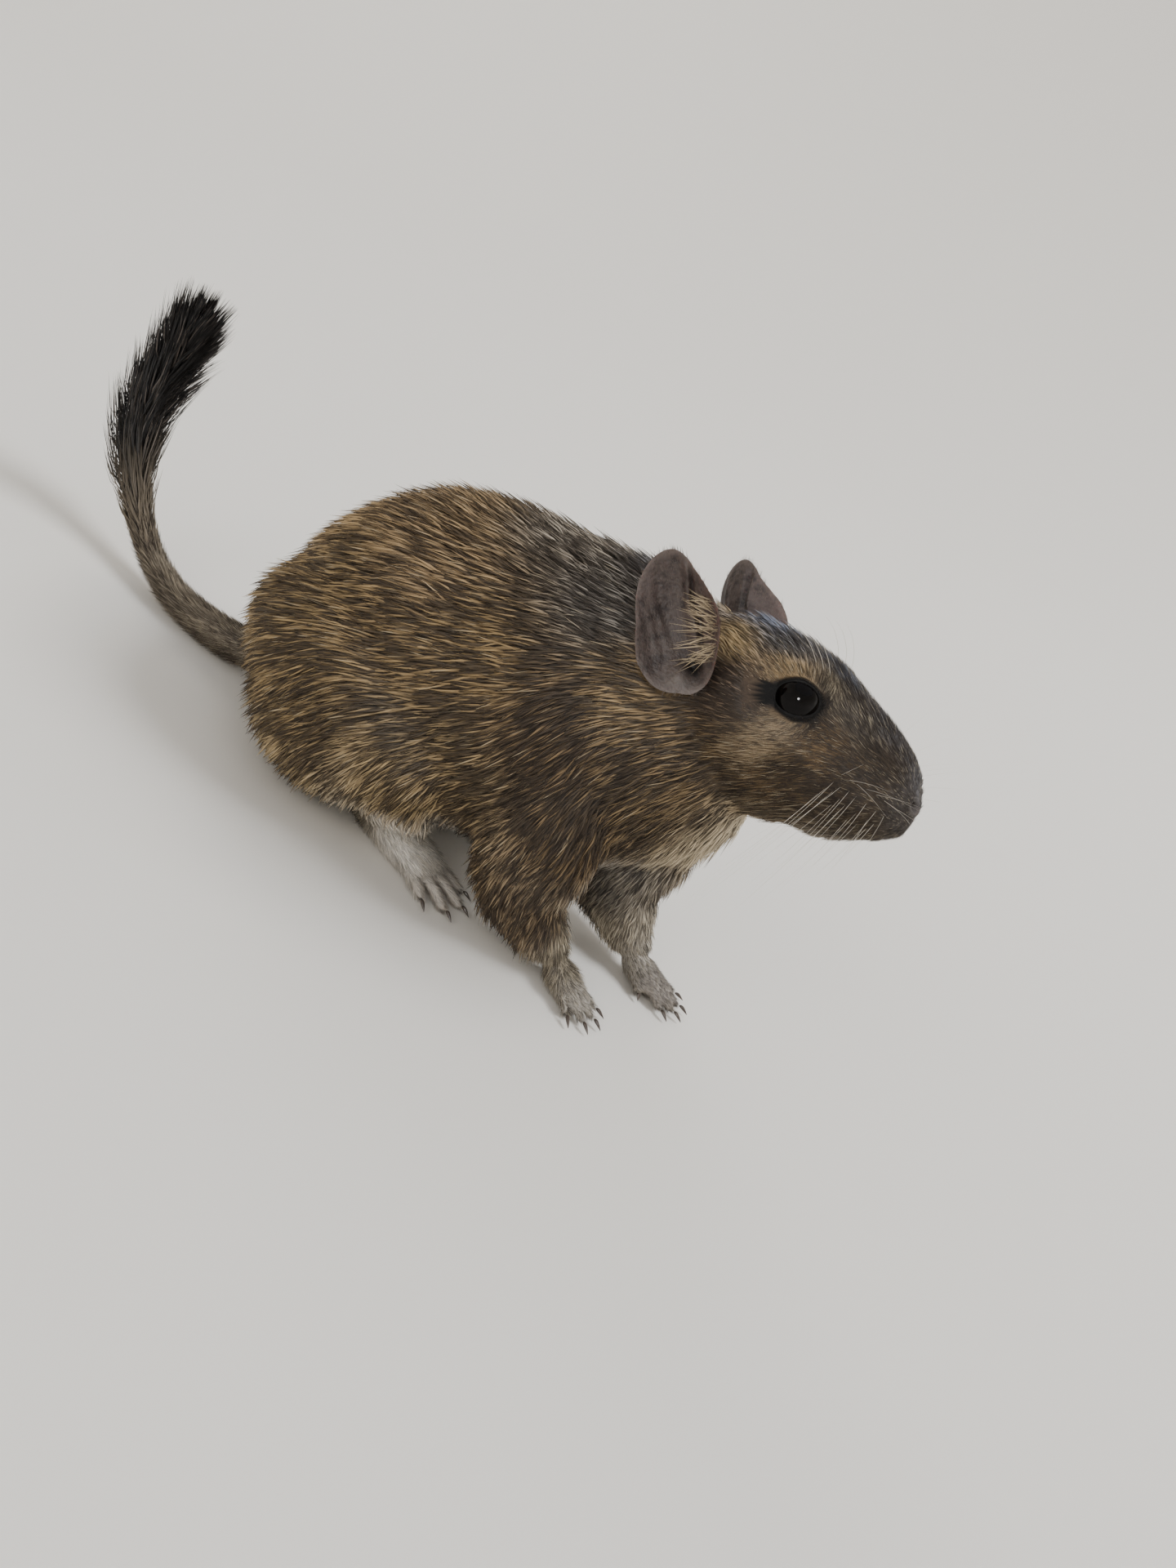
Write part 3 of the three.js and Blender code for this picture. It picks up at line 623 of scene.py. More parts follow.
# Colour of skin and coat at a point, the same for both
def markings(points):
    coat = coatAt(points)
    light, dark = coat[:, 5:8], coat[:, 8]
    mottle = 1 + 0.10 * waves(points, 9, 3) + 0.06 * waves(points, 3.5, 4)
    light = light * np.clip(mottle, 0.6, 1.4)[:, None]
    step, onTail = tailPlace(points)
    high = ramp(step / tailSteps, *tail["darkFrom"])
    light = mix(light, mix(tail["pale"][None], tail["dark"][None], high), onTail)
    dark = mix(dark, mix(*tail["darkShare"], high), onTail)
    inHead = toHead(points)
    for side in (1, -1):
        rim = 1 - ramp(almond(inHead, side), 0.8, 1.35)
        light = mix(light, linear(20, 16, 14), rim)
        dark = np.maximum(dark, rim)
    body = ramp(-inHead[:, 0], 8, 30) * (1 - onTail)
    clouds = 0.16 * waves(points, 13, 5) * ramp(dark, 0.15, 0.4)
    dark = dark + 0.13 * body * ramp(dark, 0.15, 0.3) + clouds
    return light, np.clip(dark, 0, 1)


underFur = linear(52, 44, 38)
# the nostril and mouth colours are painted shade in the nostril pits and along the mouth's crease
faceColours = {"lids": linear(11, 9, 8), "nostril": linear(30, 22, 20), "mouth": linear(38, 27, 24),
               "nosePad": linear(84, 74, 72)}


def paintSkin():
    points = readPoints(skinMesh)
    light, dark = markings(points)
    pale = 1 - 0.75 * (1 - ramp(feetAway(points), 4.5, 7.5))
    colour = mix(light, underFur, (0.45 + 0.4 * dark) * pale)
    inHead = toHead(points)
    for side in (1, -1):
        _, _, distance, angle, opening = eyeAngles(inHead, side)
        lids = (1 - ramp(angle - opening, 3, 8)) * (distance < 8)
        lids = np.maximum(lids, 1 - ramp(almond(inHead, side), 0.85, 1.15))
        colour = mix(colour, faceColours["lids"], lids)
        # painted shade in the nostril pits
        away = np.linalg.norm((inHead - mirrored(nostril["at"], side)) / [2, 1, 0.8], axis=1)
        colour = mix(colour, faceColours["nostril"], 1 - ramp(away, 0.5, 1.3))
        # painted shade along the mouth's crease
        away = nearSegments(inHead, mouthLine(side))
        colour = mix(colour, faceColours["mouth"], 0.9 * (1 - ramp(away, 0.3, 1.1)))
    pad = np.linalg.norm((inHead - nosePad) / [1.8, 1.9, 2.2], axis=1)
    colour = mix(colour, faceColours["nosePad"], 0.7 * (1 - ramp(pad, 0.75, 1.1)))
    setColour(skinMesh, colour)


paintSkin()
skinObject = newObject("skin", skinMesh, [skinLook])
smoothAll(skinMesh)
fleshNodes = [name for name in skin["flesh"] if not name.startswith("eye")]
tailNodes = [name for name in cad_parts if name.startswith("tail")]
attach(skinObject, "root")
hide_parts(*fleshNodes, *tailNodes)


def unwrapSkin():
    bpy.context.view_layer.objects.active = skinObject
    skinObject.select_set(True)
    skinMesh.uv_layers.new(name="OFBake")
    bpy.ops.object.mode_set(mode="EDIT")
    bpy.ops.mesh.select_all(action="SELECT")
    bpy.ops.uv.smart_project(angle_limit=math.radians(72), island_margin=0.001)
    bpy.ops.object.mode_set(mode="OBJECT")
    skinObject.select_set(False)


unwrapSkin()
say("skin unwrapped and painted")


def skinSpots():
    # the unwrap's place of each point of the skin, and a tree to find the nearest point
    points = readPoints(skinMesh)
    corner = np.empty(len(skinMesh.loops), np.int32)
    skinMesh.loops.foreach_get("vertex_index", corner)
    uv = np.empty(len(corner) * 2, np.float32)
    skinMesh.uv_layers["OFBake"].data.foreach_get("uv", uv)
    spots = np.zeros((len(points), 2))
    spots[corner] = uv.reshape(-1, 2)
    return treeOf(points), spots


skinTree, skinUv = skinSpots()


def spotOf(points):
    return np.array([skinUv[skinTree.find(point)[1]] for point in points])


# Eyes
for side, name in sides:
    ball = bpy.data.meshes.new(f"eyeball_{name}")
    shape = bmesh.new()
    bmesh.ops.create_uvsphere(shape, u_segments=48, v_segments=32, radius=eye["radius"] * mm)
    spot = toMetres(fromHead([mirrored(eye["at"], side)]))[0]
    bmesh.ops.translate(shape, verts=shape.verts, vec=spot)
    shape.to_mesh(ball)
    shape.free()
    smoothAll(ball)
    ballObject = newObject(f"eyeball_{name}", ball, [eyeLook])
    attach(ballObject, "root")
    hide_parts(f"eye_{name}")

# Claws: the solids' claws, rounded
clawNames = [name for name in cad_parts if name.startswith("claw")]


def buildClaws():
    shape = bmesh.new()
    for name in clawNames:
        shape.from_mesh(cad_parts[name].data)
    bmesh.ops.remove_doubles(shape, verts=shape.verts, dist=1e-7)
    mesh = bpy.data.meshes.new("claws")
    shape.to_mesh(mesh)
    shape.free()
    rough = newObject("rough", mesh)
    change = rough.modifiers.new("round", "SUBSURF")
    change.levels = 2
    bpy.context.view_layer.update()
    made = bpy.data.meshes.new_from_object(rough.evaluated_get(bpy.context.evaluated_depsgraph_get()))
    bpy.data.objects.remove(rough)
    made.materials.clear()
    smoothAll(made)
    made.polygons.foreach_set("material_index", np.zeros(len(made.polygons), np.int32))
    thing = newObject("claws", made, [hornLook])
    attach(thing, "root")
    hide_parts(*clawNames)


buildClaws()
say("eyes and claws made")

# Ears: a thin cup each, rim, front fold, ridge and the notch of the ear hole
ear = {"centre": (-25, 18.8, 5.6), "long": 14, "wide": 8, "cup": 4.2, "thick": 0.55,
       "rings": 44, "turns": 120,
       # how far the rim reaches in each direction, by degrees from the front edge over the tip
       "reach": [(0, 1), (15, 0.9), (30, 0.8), (46, 0.75), (62, 0.74), (78, 0.82), (95, 0.92),
                 (107, 0.97), (120, 1), (150, 1.03), (180, 1), (192, 1.06), (205, 1.11), (216, 1.07),
                 (228, 1.03), (246, 0.97), (265, 0.92), (282, 0.94), (300, 0.96), (320, 1),
                 (345, 1.01), (360, 1)]}


def earAxes(side):
    longAxis = unit((-0.6, side * 0.04, 0.8))
    flare = math.radians(22)
    wideAxis = np.array([0.795 * math.cos(flare), -side * math.sin(flare), 0.605 * math.cos(flare)])
    wideAxis = unit(wideAxis - longAxis * (wideAxis @ longAxis))
    return longAxis, wideAxis, np.cross(longAxis, wideAxis) * side


def earPlace(inHead, side):
    # share of the way from the ear's middle to its tip and to its front edge, and out of its plane
    longAxis, wideAxis, outward = earAxes(side)
    offset = inHead - mirrored(ear["centre"], side)
    return offset @ longAxis / ear["long"], offset @ wideAxis / ear["wide"], offset @ outward


def earSurface(a, b, layer, side):
    # point of the ear for a from root to tip, b from rear to front and a layer of -1 or 1
    longAxis, wideAxis, outward = earAxes(side)
    reach = np.interp(np.degrees(np.arctan2(a, b)) % 360, *zip(*ear["reach"]))
    fold = 3.4 * np.maximum(0, b - 0.42) ** 2 * (1 - 0.5 * a)
    depth = ear["cup"] * (a * a + b * b - 0.7) + 3.6 * fold
    radius = np.sqrt(a * a + b * b)
    inside = 1 - ramp(radius, 0.8, 0.98)
    depth += 0.9 * np.exp(-((b - 0.3 + 0.12 * a) / 0.1) ** 2) * ramp(a, -0.55, -0.2) * inside
    depth -= 0.8 * np.exp(-((b - 0.47 + 0.1 * a) / 0.08) ** 2) * ramp(a, -0.6, -0.2) * inside
    depth -= 1.3 * np.exp(-(((a + 0.6) / 0.15) ** 2 + ((b - 0.3) / 0.17) ** 2))
    depth += 1.1 * np.exp(-(((a + 0.52) / 0.16) ** 2 + ((b - 0.58) / 0.12) ** 2))
    depth += 1.2 * np.exp(-(((a + 0.74) / 0.13) ** 2 + ((b + 0.05) / 0.22) ** 2))
    depth += 0.1 * np.sin(26 * b + 7 * a + 2 * np.sin(5 * a)) * inside * ramp(-b, -0.1, 0.5)
    depth += 0.14 * np.sin(9 * b + 5 * a) * inside
    rim = np.sqrt(np.maximum(0, 1 - radius ** 10))
    thickness = (ear["thick"] + 0.5 * ramp(-a, 0, 0.9)) / 2 * rim
    centre = mirrored(ear["centre"], side)
    edge = 1 + 0.015 * np.sin(5 * np.arctan2(a, b) + 1) * radius
    spot = centre + longAxis * (a * reach * ear["long"] * edge)[:, None]
    spot = spot + wideAxis * (b * reach * ear["wide"] * edge - fold)[:, None]
    return fromHead(spot + outward * (depth + layer * thickness)[:, None])


# ear colours: the crease colour is painted shade in the ear's fold, the pit colour painted shade in the
# ear hole
earColours = {"skin": linear(84, 74, 71), "blotch": linear(50, 43, 43), "flap": linear(112, 98, 91),
              "groove": linear(46, 36, 36), "rim": linear(108, 98, 93), "lobe": linear(118, 110, 106),
              "pit": linear(20, 15, 14)}


def paintEar(points, a, b, inner):
    radius = np.sqrt(a * a + b * b)
    blotch = waves(points, 5, 21) * 0.55 + waves(points, 2.2, 22) * 0.45 + waves(points, 1.1, 23) * 0.4
    colour = mix(earColours["skin"][None], earColours["blotch"], ramp(blotch, -0.3, 0.9) * 0.85)
    flap = np.exp(-(((b - 0.6) / 0.2) ** 2 + ((a - 0.1) / 0.6) ** 2)) * inner
    colour = mix(colour, earColours["flap"], flap * 0.5)
    # painted shade along the crease of the ear's ridge
    groove = np.exp(-((b - 0.46 + 0.1 * a) / 0.055) ** 2) * ramp(a, -0.6, -0.2)
    groove *= (1 - ramp(radius, 0.85, 0.98)) * inner
    colour = mix(colour, earColours["groove"], groove * 0.75)
    colour = mix(colour, earColours["rim"], ramp(radius, 0.9, 0.98) * 0.5)
    lobe = np.exp(-(((a + 0.8) / 0.16) ** 2 + ((b + 0.1) / 0.4) ** 2)) * inner
    colour = mix(colour, earColours["lobe"], lobe * 0.6)
    # painted shade: the ear hole is painted near black
    pit = np.exp(-(((a + 0.6) / 0.14) ** 2 + ((b - 0.3) / 0.16) ** 2))
    return mix(colour, earColours["pit"], np.clip(pit * 1.6, 0, 1) * inner)


def earMesh(name, side):
    # a ball pressed flat: its upper half is the inner face of the cup, its lower half the outer
    shape = bmesh.new()
    bmesh.ops.create_uvsphere(shape, u_segments=ear["turns"], v_segments=2 * ear["rings"] - 2, radius=1)
    ball = np.array([vert.co[:] for vert in shape.verts])
    spread = np.maximum(np.hypot(ball[:, 0], ball[:, 1]), 1e-6) ** -0.15
    a, b = ball[:, 1] * spread, ball[:, 0] * spread
    inner = np.where(ball[:, 2] > -1e-6, 1.0, 0.0)
    points = earSurface(a, b, 2 * inner - 1, side)
    for vert, spot in zip(shape.verts, toMetres(points)):
        vert.co = spot
    if shape.calc_volume(signed=True) < 0:
        bmesh.ops.reverse_faces(shape, faces=shape.faces)
    mesh = bpy.data.meshes.new(f"ear_shell_{name}")
    shape.to_mesh(mesh)
    shape.free()
    smoothAll(mesh)
    setColour(mesh, paintEar(points, a, b, inner))
    return mesh


for side, name in sides:
    earObject = newObject(f"ear_shell_{name}", earMesh(name, side), [earLook])
    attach(earObject, "root")
    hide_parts(f"ear_{name}")
say("ears made")


# Coat: closed tufts of three sides, in arrays
def triangleData(mesh):
    mesh.calc_loop_triangles()
    count = len(mesh.loop_triangles)
    corners = np.empty(count * 3, np.int32)
    loops = np.empty(count * 3, np.int32)
    mesh.loop_triangles.foreach_get("vertices", corners)
    mesh.loop_triangles.foreach_get("loops", loops)
    uv = np.empty(len(mesh.loops) * 2, np.float32)
    mesh.uv_layers["OFBake"].data.foreach_get("uv", uv)
    return corners.reshape(-1, 3), loops.reshape(-1, 3), uv.reshape(-1, 2)


rootDeep = {"least": 0.03, "share": 0.03, "most": 0.25}


def layTufts(root, way, up, length, rise, sag):
    # root, bend and tip of each tuft: way is the lie, up the skin's normal,
    # sag the share of the rise that is kept at the tip
    first = way * np.cos(rise)[:, None] + up * np.sin(rise)[:, None]
    late = rise * sag
    second = way * np.cos(late)[:, None] + up * np.sin(late)[:, None]
    deep = np.clip(rootDeep["least"] + rootDeep["share"] * length, 0, rootDeep["most"])
    base = root - up * deep[:, None]
    middle = base + first * (length * 0.5)[:, None]
    return base, middle, middle + second * (length * 0.5)[:, None]


tuftShapes = {
    "bent": {"faces": [(0, 2, 1), (0, 4, 3), (0, 1, 4), (3, 4, 6), (1, 5, 4), (1, 2, 5), (4, 5, 6),
                       (2, 3, 5), (2, 0, 3), (5, 3, 6)],
             "patch": [(0, 0), (1, 0), (0.5, 0.35), (0.1, 0.6), (0.9, 0.6), (0.5, 0.8), (0.5, 1)]},
    "straight": {"faces": [(0, 2, 1), (0, 1, 3), (1, 2, 3), (2, 0, 3)],
                 "patch": [(0, 0), (1, 0), (0.5, 0.35), (0.5, 1)]},
}


tuftStyle = {"thin": 0.42, "rootWidth": 0.8, "floor": 0.06, "mostTriangles": 190000, "patch": 0.003,
             "skinNormal": 0.66}


def writeTufts(name, shape, base, middle, tip, up, width, colours, uv):
    # closed tufts of three sides with a bend or without, in pieces of under 200,000 triangles
    faces = np.array(tuftShapes[shape]["faces"])
    patchShape = np.array(tuftShapes[shape]["patch"], float) - 0.5
    side = unit(np.cross(tip - base, up))
    rings = []
    bent = shape == "bent"
    for centre, share in ((base, tuftStyle["rootWidth"]), (middle, 1.0)) if bent else ((base, 1.0),):
        w = (width * share / 2)[:, None]
        thick = up * w * tuftStyle["thin"]
        rings += [centre - thick + side * w, centre - thick - side * w, centre + thick]
    points = np.stack(rings + [tip], 1)
    points[:, :, 2] = np.maximum(points[:, :, 2], tuftStyle["floor"])
    shade = np.stack([colours[0]] * 3 + [colours[1]] * 3 * bent + [colours[2]], 1)
    size = points.shape[1]
    pieces = max(1, math.ceil(len(base) * len(faces) / tuftStyle["mostTriangles"]))
    for piece, chosen in enumerate(np.array_split(np.arange(len(base)), pieces)):
        total = len(chosen)
        index = (faces[None] + (np.arange(total) * size)[:, None, None]).reshape(-1, 3)
        label = f"{name}_{piece + 1}" if pieces > 1 else name
        mesh = meshFrom(label, points[chosen].reshape(-1, 3), index)
        setColour(mesh, shade[chosen].reshape(-1, 3))
        layer = mesh.uv_layers.new(name="OFBake")
        patch = uv[chosen][:, None, :] + patchShape[None] * tuftStyle["patch"]
        layer.data.foreach_set("uv", patch.reshape(-1, 2)[index.ravel()].astype(np.float32).ravel())
        own = np.empty(total * size * 3, np.float32)
        mesh.vertex_normals.foreach_get("vector", own)
        share = tuftStyle["skinNormal"]
        blend = unit(np.repeat(up[chosen], size, 0) * share + own.reshape(-1, 3) * (1 - share))
        mesh.normals_split_custom_set_from_vertices(blend.astype(np.float32))
        thing = newObject(label, mesh, [furLook])
        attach(thing, "root")
    return pieces


def sampleSkin(count, weightOf):
    corners, loops, uv = triangleData(skinMesh)
    points, normals = readPoints(skinMesh), readNormals(skinMesh)
    a, b, c = (points[corners[:, k]] for k in range(3))
    area = np.linalg.norm(np.cross(b - a, c - a), axis=1) / 2
    centre = (a + b + c) / 3
    weight = area * weightOf(centre)
    chosen = np.searchsorted(np.cumsum(weight) / weight.sum(), draw.uniform(size=count))
    chosen = np.minimum(chosen, len(corners) - 1)
    r = np.sqrt(draw.uniform(size=count))
    s = draw.uniform(size=count)
    share = np.stack([1 - r, r * (1 - s), r * s], 1)
    root = (points[corners[chosen]] * share[:, :, None]).sum(1)
    normal = unit((normals[corners[chosen]] * share[:, :, None]).sum(1))
    spot = (uv[loops[chosen]] * share[:, :, None]).sum(1)
    return root, normal, spot


def lieOf(points, normals, coat):
    # the coat's lie on the skin, turned aside round the eyes and along the tail
    way = coat[:, :3].copy()
    inHead = toHead(points)
    for side in (1, -1):
        centre, _, distance, _, _ = eyeAngles(inHead, side)
        away = unit(points - fromHead([centre])[0])
        away = unit(alongSkin(away, normals))
        near = np.exp(-((np.maximum(distance, 4) - 4) / 3.2) ** 2)
        way = way + away * (1.1 * near)[:, None]
    step, onTail = tailPlace(points)
    return unit(alongSkin(mix(way, tailWay[step], onTail), normals))


def hairWeight(points):
    # how thickly the tufts stand, and none on eyes, nostrils and lips
    inHead = toHead(points)
    weight = np.ones(len(points))
    weight += 1.5 * ramp(inHead[:, 0], -14, 4) * (inHead[:, 2] > -26)
    weight += 1.8 * ramp(inHead[:, 0], 8, 20)
    onFoot = 1 - ramp(feetAway(points), 5, 9)
    weight += 2.2 * onFoot
    weight += 1.4 * tailPlace(points)[1]
    weight *= 1 - 0.75 * (1 - ramp(points[:, 2], 0.4, 3.0)) * (1 - onFoot)
    for side in (1, -1):
        _, _, distance, angle, opening = eyeAngles(inHead, side)
        weight += 2.5 * (1 - ramp(distance, 7, 11))
        weight *= 1 - (angle < opening + 4) * (distance < 9)
        pit = np.linalg.norm(inHead - [1, 0, 0] - mirrored(nostril["at"], side), axis=1)
        weight *= ramp(pit, 1.2, 2.2)
        lips = nearSegments(inHead, mouthLine(side))
        weight *= ramp(lips, 0.6, 1.4)
        a, b, depth = earPlace(inHead, side)
        weight *= 1 - (a * a + b * b < 1.05) * (depth > -3.5) * (depth < 6)
    pad = np.linalg.norm((inHead - [28, 0, -0.4]) / [1.8, 1.8, 2.0], axis=1)
    return weight * (0.3 + 0.7 * ramp(pad, 0.8, 1.2))


def clumpsOf(points, share):
    # for each tuft the tuft that its lock gathers round
    chosen = draw.choice(len(points), max(int(len(points) * share), 1), replace=False)
    tree = treeOf(points[chosen])
    return chosen[np.array([tree.find(point)[1] for point in points])]


hairColours = {"black": linear(40, 32, 26), "paleTip": linear(214, 198, 168), "paleShare": 0.1}


def agouti(root, way, own, light, dark):
    # colours at root, bend and tip: fine streaks of light and dark hair that follow the lie
    count = len(root)
    stretched = root - way * (root * way).sum(1)[:, None] * 0.7
    lock = draw.uniform(size=count)[own]
    streak = 0.26 * lock + 0.44 * draw.uniform(size=count)
    streak += 0.09 * waves(stretched, 3.4, 41) + 0.05 * waves(root, 15, 42)
    order = np.empty(count)
    order[np.argsort(streak)] = np.linspace(0, 1, count)
    darkHair = ramp(dark - order, -0.14, 0.14)
    bright = (0.60 + 0.24 * lock + draw.uniform(0, 0.42, count))[:, None]
    band = light * bright
    shade = ramp(dark, 0.02, 0.12)
    deep = mix(band * mix(0.85, 0.35, shade)[:, None], underFur, 0.5 * shade)
    bend = mix(band, hairColours["black"], darkHair * 0.8)
    ticked = (draw.uniform(size=count) < 0.2 + 0.5 * dark) * 0.75
    tip = mix(band * 1.05, hairColours["black"], np.maximum(darkHair, ticked))
    pale = (draw.uniform(size=count) < hairColours["paleShare"]) * (1 - darkHair)
    return deep, bend, mix(tip, hairColours["paleTip"], pale * 0.8)


# lengths and widths in millimetres, rise from the skin in degrees for fine and for stout tufts
coatStyle = {"spread": (0.66, 1.22), "fineLength": 0.82, "fineWidth": 0.72, "rise": (22, 27),
             "riseSpread": (0.4, 1.4), "sway": 0.15, "stray": 0.13, "width": (0.09, 0.034),
             "widthLimits": (0.12, 0.4), "widthSpread": (0.7, 1.25), "sag": 0.42, "lockShare": 0.12,
             "gather": 0.5, "gatherLessOnFace": 0.32, "gatherReach": 0.35, "lidLength": 0.35,
             "tailLength": (2.4, 6.9)}


def growCoat(name, shape, count, chosen, stout=1.0):
    root, up, uv = sampleSkin(count, lambda points: hairWeight(points) * chosen(points))
    coat = coatAt(root)
    light, dark = markings(root)
    way = lieOf(root, up, coat)
    step, onTail = tailPlace(root)
    length = mix(coat[:, 3], mix(*coatStyle["tailLength"], step / tailSteps), onTail)
    length = length * draw.uniform(*coatStyle["spread"], count) * mix(coatStyle["fineLength"], 1, stout)
    inHead = toHead(root)
    face = ramp(inHead[:, 0], -20, 0) * (inHead[:, 2] > -26)
    for side in (1, -1):
        _, _, distance, angle, opening = eyeAngles(inHead, side)
        away = np.maximum(ramp(angle - opening, 5, 22), distance > 10)
        length *= mix(coatStyle["lidLength"], 1, away)
    rise = np.radians(mix(*coatStyle["rise"], stout)) * draw.uniform(*coatStyle["riseSpread"], count)
    rise *= 1 - 0.2 * face
    sway = np.stack([waves(root, 17, 31), waves(root, 19, 32), waves(root, 15, 33)], 1) * coatStyle["sway"]
    stray = draw.normal(size=(count, 3)) * coatStyle["stray"]
    way = unit(alongSkin(way + sway * (1 - 0.4 * face)[:, None] + stray, up))
    least, perLength = coatStyle["width"]
    width = np.clip(least + perLength * length, *coatStyle["widthLimits"])
    width *= draw.uniform(*coatStyle["widthSpread"], count) * mix(coatStyle["fineWidth"], 1, stout)
    base, middle, tip = layTufts(root, way, up, length, rise, coatStyle["sag"])
    own = clumpsOf(root, coatStyle["lockShare"])
    gather = coatStyle["gather"] - coatStyle["gatherLessOnFace"] * face
    gather = (gather * draw.uniform(0.4, 1.1, count))[:, None]
    towards = alongSkin(tip[own] - tip, up)
    far = np.linalg.norm(towards, axis=1, keepdims=True)
    towards *= np.minimum(1, length[:, None] * coatStyle["gatherReach"] / np.maximum(far, 1e-6)) * gather
    tip, middle = tip + towards, middle + towards * 0.3
    colours = agouti(root, way, own, light, dark)
    pieces = writeTufts(name, shape, base, middle, tip, up, width, colours, uv)
    say(f"{name} of {count} tufts in {pieces} pieces")


def shortShare(points):
    # 1 where the hair is so short that straight tufts do: face, paws and the tail's root
    inHead = toHead(points)
    face = ramp(inHead[:, 0], -12, -4) * (inHead[:, 2] > -16)
    return np.maximum.reduce([face, 1 - ramp(feetAway(points), 6, 10), tailPlace(points)[1]])


def longShare(points):
    return 1 - shortShare(points)


coatCounts = {"coat": 60000, "coat_fine": 98000, "coat_short": 110000}
fewer = 1.0
growCoat("coat", "bent", int(coatCounts["coat"] * fewer), longShare)
growCoat("coat_fine", "straight", int(coatCounts["coat_fine"] * fewer), longShare, 0.0)
growCoat("coat_short", "straight", int(coatCounts["coat_short"] * fewer), shortShare)

# Brush of the tail
brush = {"count": 5200, "start": 0.40, "full": 0.62, "long": 18, "greyShare": 0.16,
         "black": linear(19, 16, 15), "grey": linear(96, 88, 82), "early": linear(150, 136, 116)}


def growBrush(count):
    place = brush["start"] + (1.0 - brush["start"]) * draw.uniform(size=count) ** 0.8
    step = np.clip((place * (tailSteps - 1)), 0, tailSteps - 1).astype(int)
    along = tailWay[step]
    turn = draw.uniform(0, 2 * math.pi, count)
    sideways = unit(np.cross(along, [0.0, 0.35, 1.0]))
    upwards = np.cross(sideways, along)
    up = sideways * np.cos(turn)[:, None] + upwards * np.sin(turn)[:, None]
    root = tailSpine[step] + up * (tailRadii[step] * 0.85)[:, None]
    full = ramp(place, brush["start"], brush["full"])
    length = mix(5.0, brush["long"], full) * draw.uniform(0.7, 1.08, count)
    length *= 1 - 0.12 * ramp(place, 0.9, 1)
    rise = np.radians(mix(18, 33, full)) * draw.uniform(0.1, 1.3, count)
    way = unit(along + draw.normal(size=(count, 3)) * 0.09)
    way = unit(alongSkin(way, up))
    base, middle, tip = layTufts(root, way, up, length, rise, 0.5)
    # the hair follows the tail's bend, and its tips draw together in points
    ahead = np.clip(step + (length * tailSteps / 145).astype(int), 0, tailSteps - 1)
    tip += (tailWay[ahead] - along) * (length * 0.35)[:, None]
    own = clumpsOf(tip, 0.03)
    towards = (tip[own] - tip) * (0.45 * draw.uniform(0.4, 1.2, count))[:, None]
    tip, middle = tip + towards, middle + towards * 0.25
    grey = (draw.uniform(size=count) < brush["greyShare"]) * draw.uniform(0.4, 1, count)
    colour = mix(mix(brush["black"][None], brush["grey"], grey), brush["early"], (1 - full) * 0.6)
    width = draw.uniform(0.22, 0.44, count)
    shades = (colour * 0.8, colour, colour * 1.05)
    writeTufts("coat_brush", "bent", base, middle, tip, up, width, shades, spotOf(root))
    say(f"brush of {count} tufts")


growBrush(int(brush["count"] * max(fewer, 0.6)))

# Hair of the ears: a cream fan from the front edge over the hollow
earFan = {"count": 110, "from": -0.5, "to": 0.32, "long": 7.4, "colour": linear(186, 166, 134)}


def growEarFan():
    roots, ways, ups, lengths = [], [], [], []
    for side in (1, -1):
        longAxis, wideAxis, outward = earAxes(side)
        count = earFan["count"]
        a = earFan["from"] + (earFan["to"] - earFan["from"]) * draw.uniform(size=count)
        b = np.sqrt(1 - a * a) * draw.uniform(0.74, 0.95, count)
        roots.append(earSurface(a, b, 1, side))
        slope = draw.normal(size=(count, 1)) * 0.3 + (0.7 * ramp(a, -0.4, 0.3) - 0.15)[:, None]
        astray = draw.normal(size=(count, 3)) * 0.12
        ways.append(unit((-wideAxis + longAxis * slope) @ rollMatrix.T + astray))
        ups.append(np.tile(outward @ rollMatrix.T, (count, 1)))
        lengths.append(earFan["long"] * draw.uniform(0.25, 1.2, count) * (1 - 0.45 * ramp(a, -0.1, 0.3)))
    root, way, up = np.vstack(roots), np.vstack(ways), np.vstack(ups)
    length = np.concatenate(lengths)
    count = len(root)
    rise = np.radians(16) * draw.uniform(0.3, 1.4, count)
    base, middle, tip = layTufts(root, way, up, length, rise, 0.2)
    shade = earFan["colour"] * draw.uniform(0.55, 1.15, count)[:, None]
    width = draw.uniform(0.07, 0.15, count)
    shades = (shade * 0.7, shade, shade * 1.1)
    writeTufts("ear_fan", "bent", base, middle, tip, up, width, shades, spotOf(root))


growEarFan()

# Fine down on both faces of the ears, a little longer at the rim
earDown = {"count": 3600, "long": 1.3, "colour": linear(108, 97, 88)}


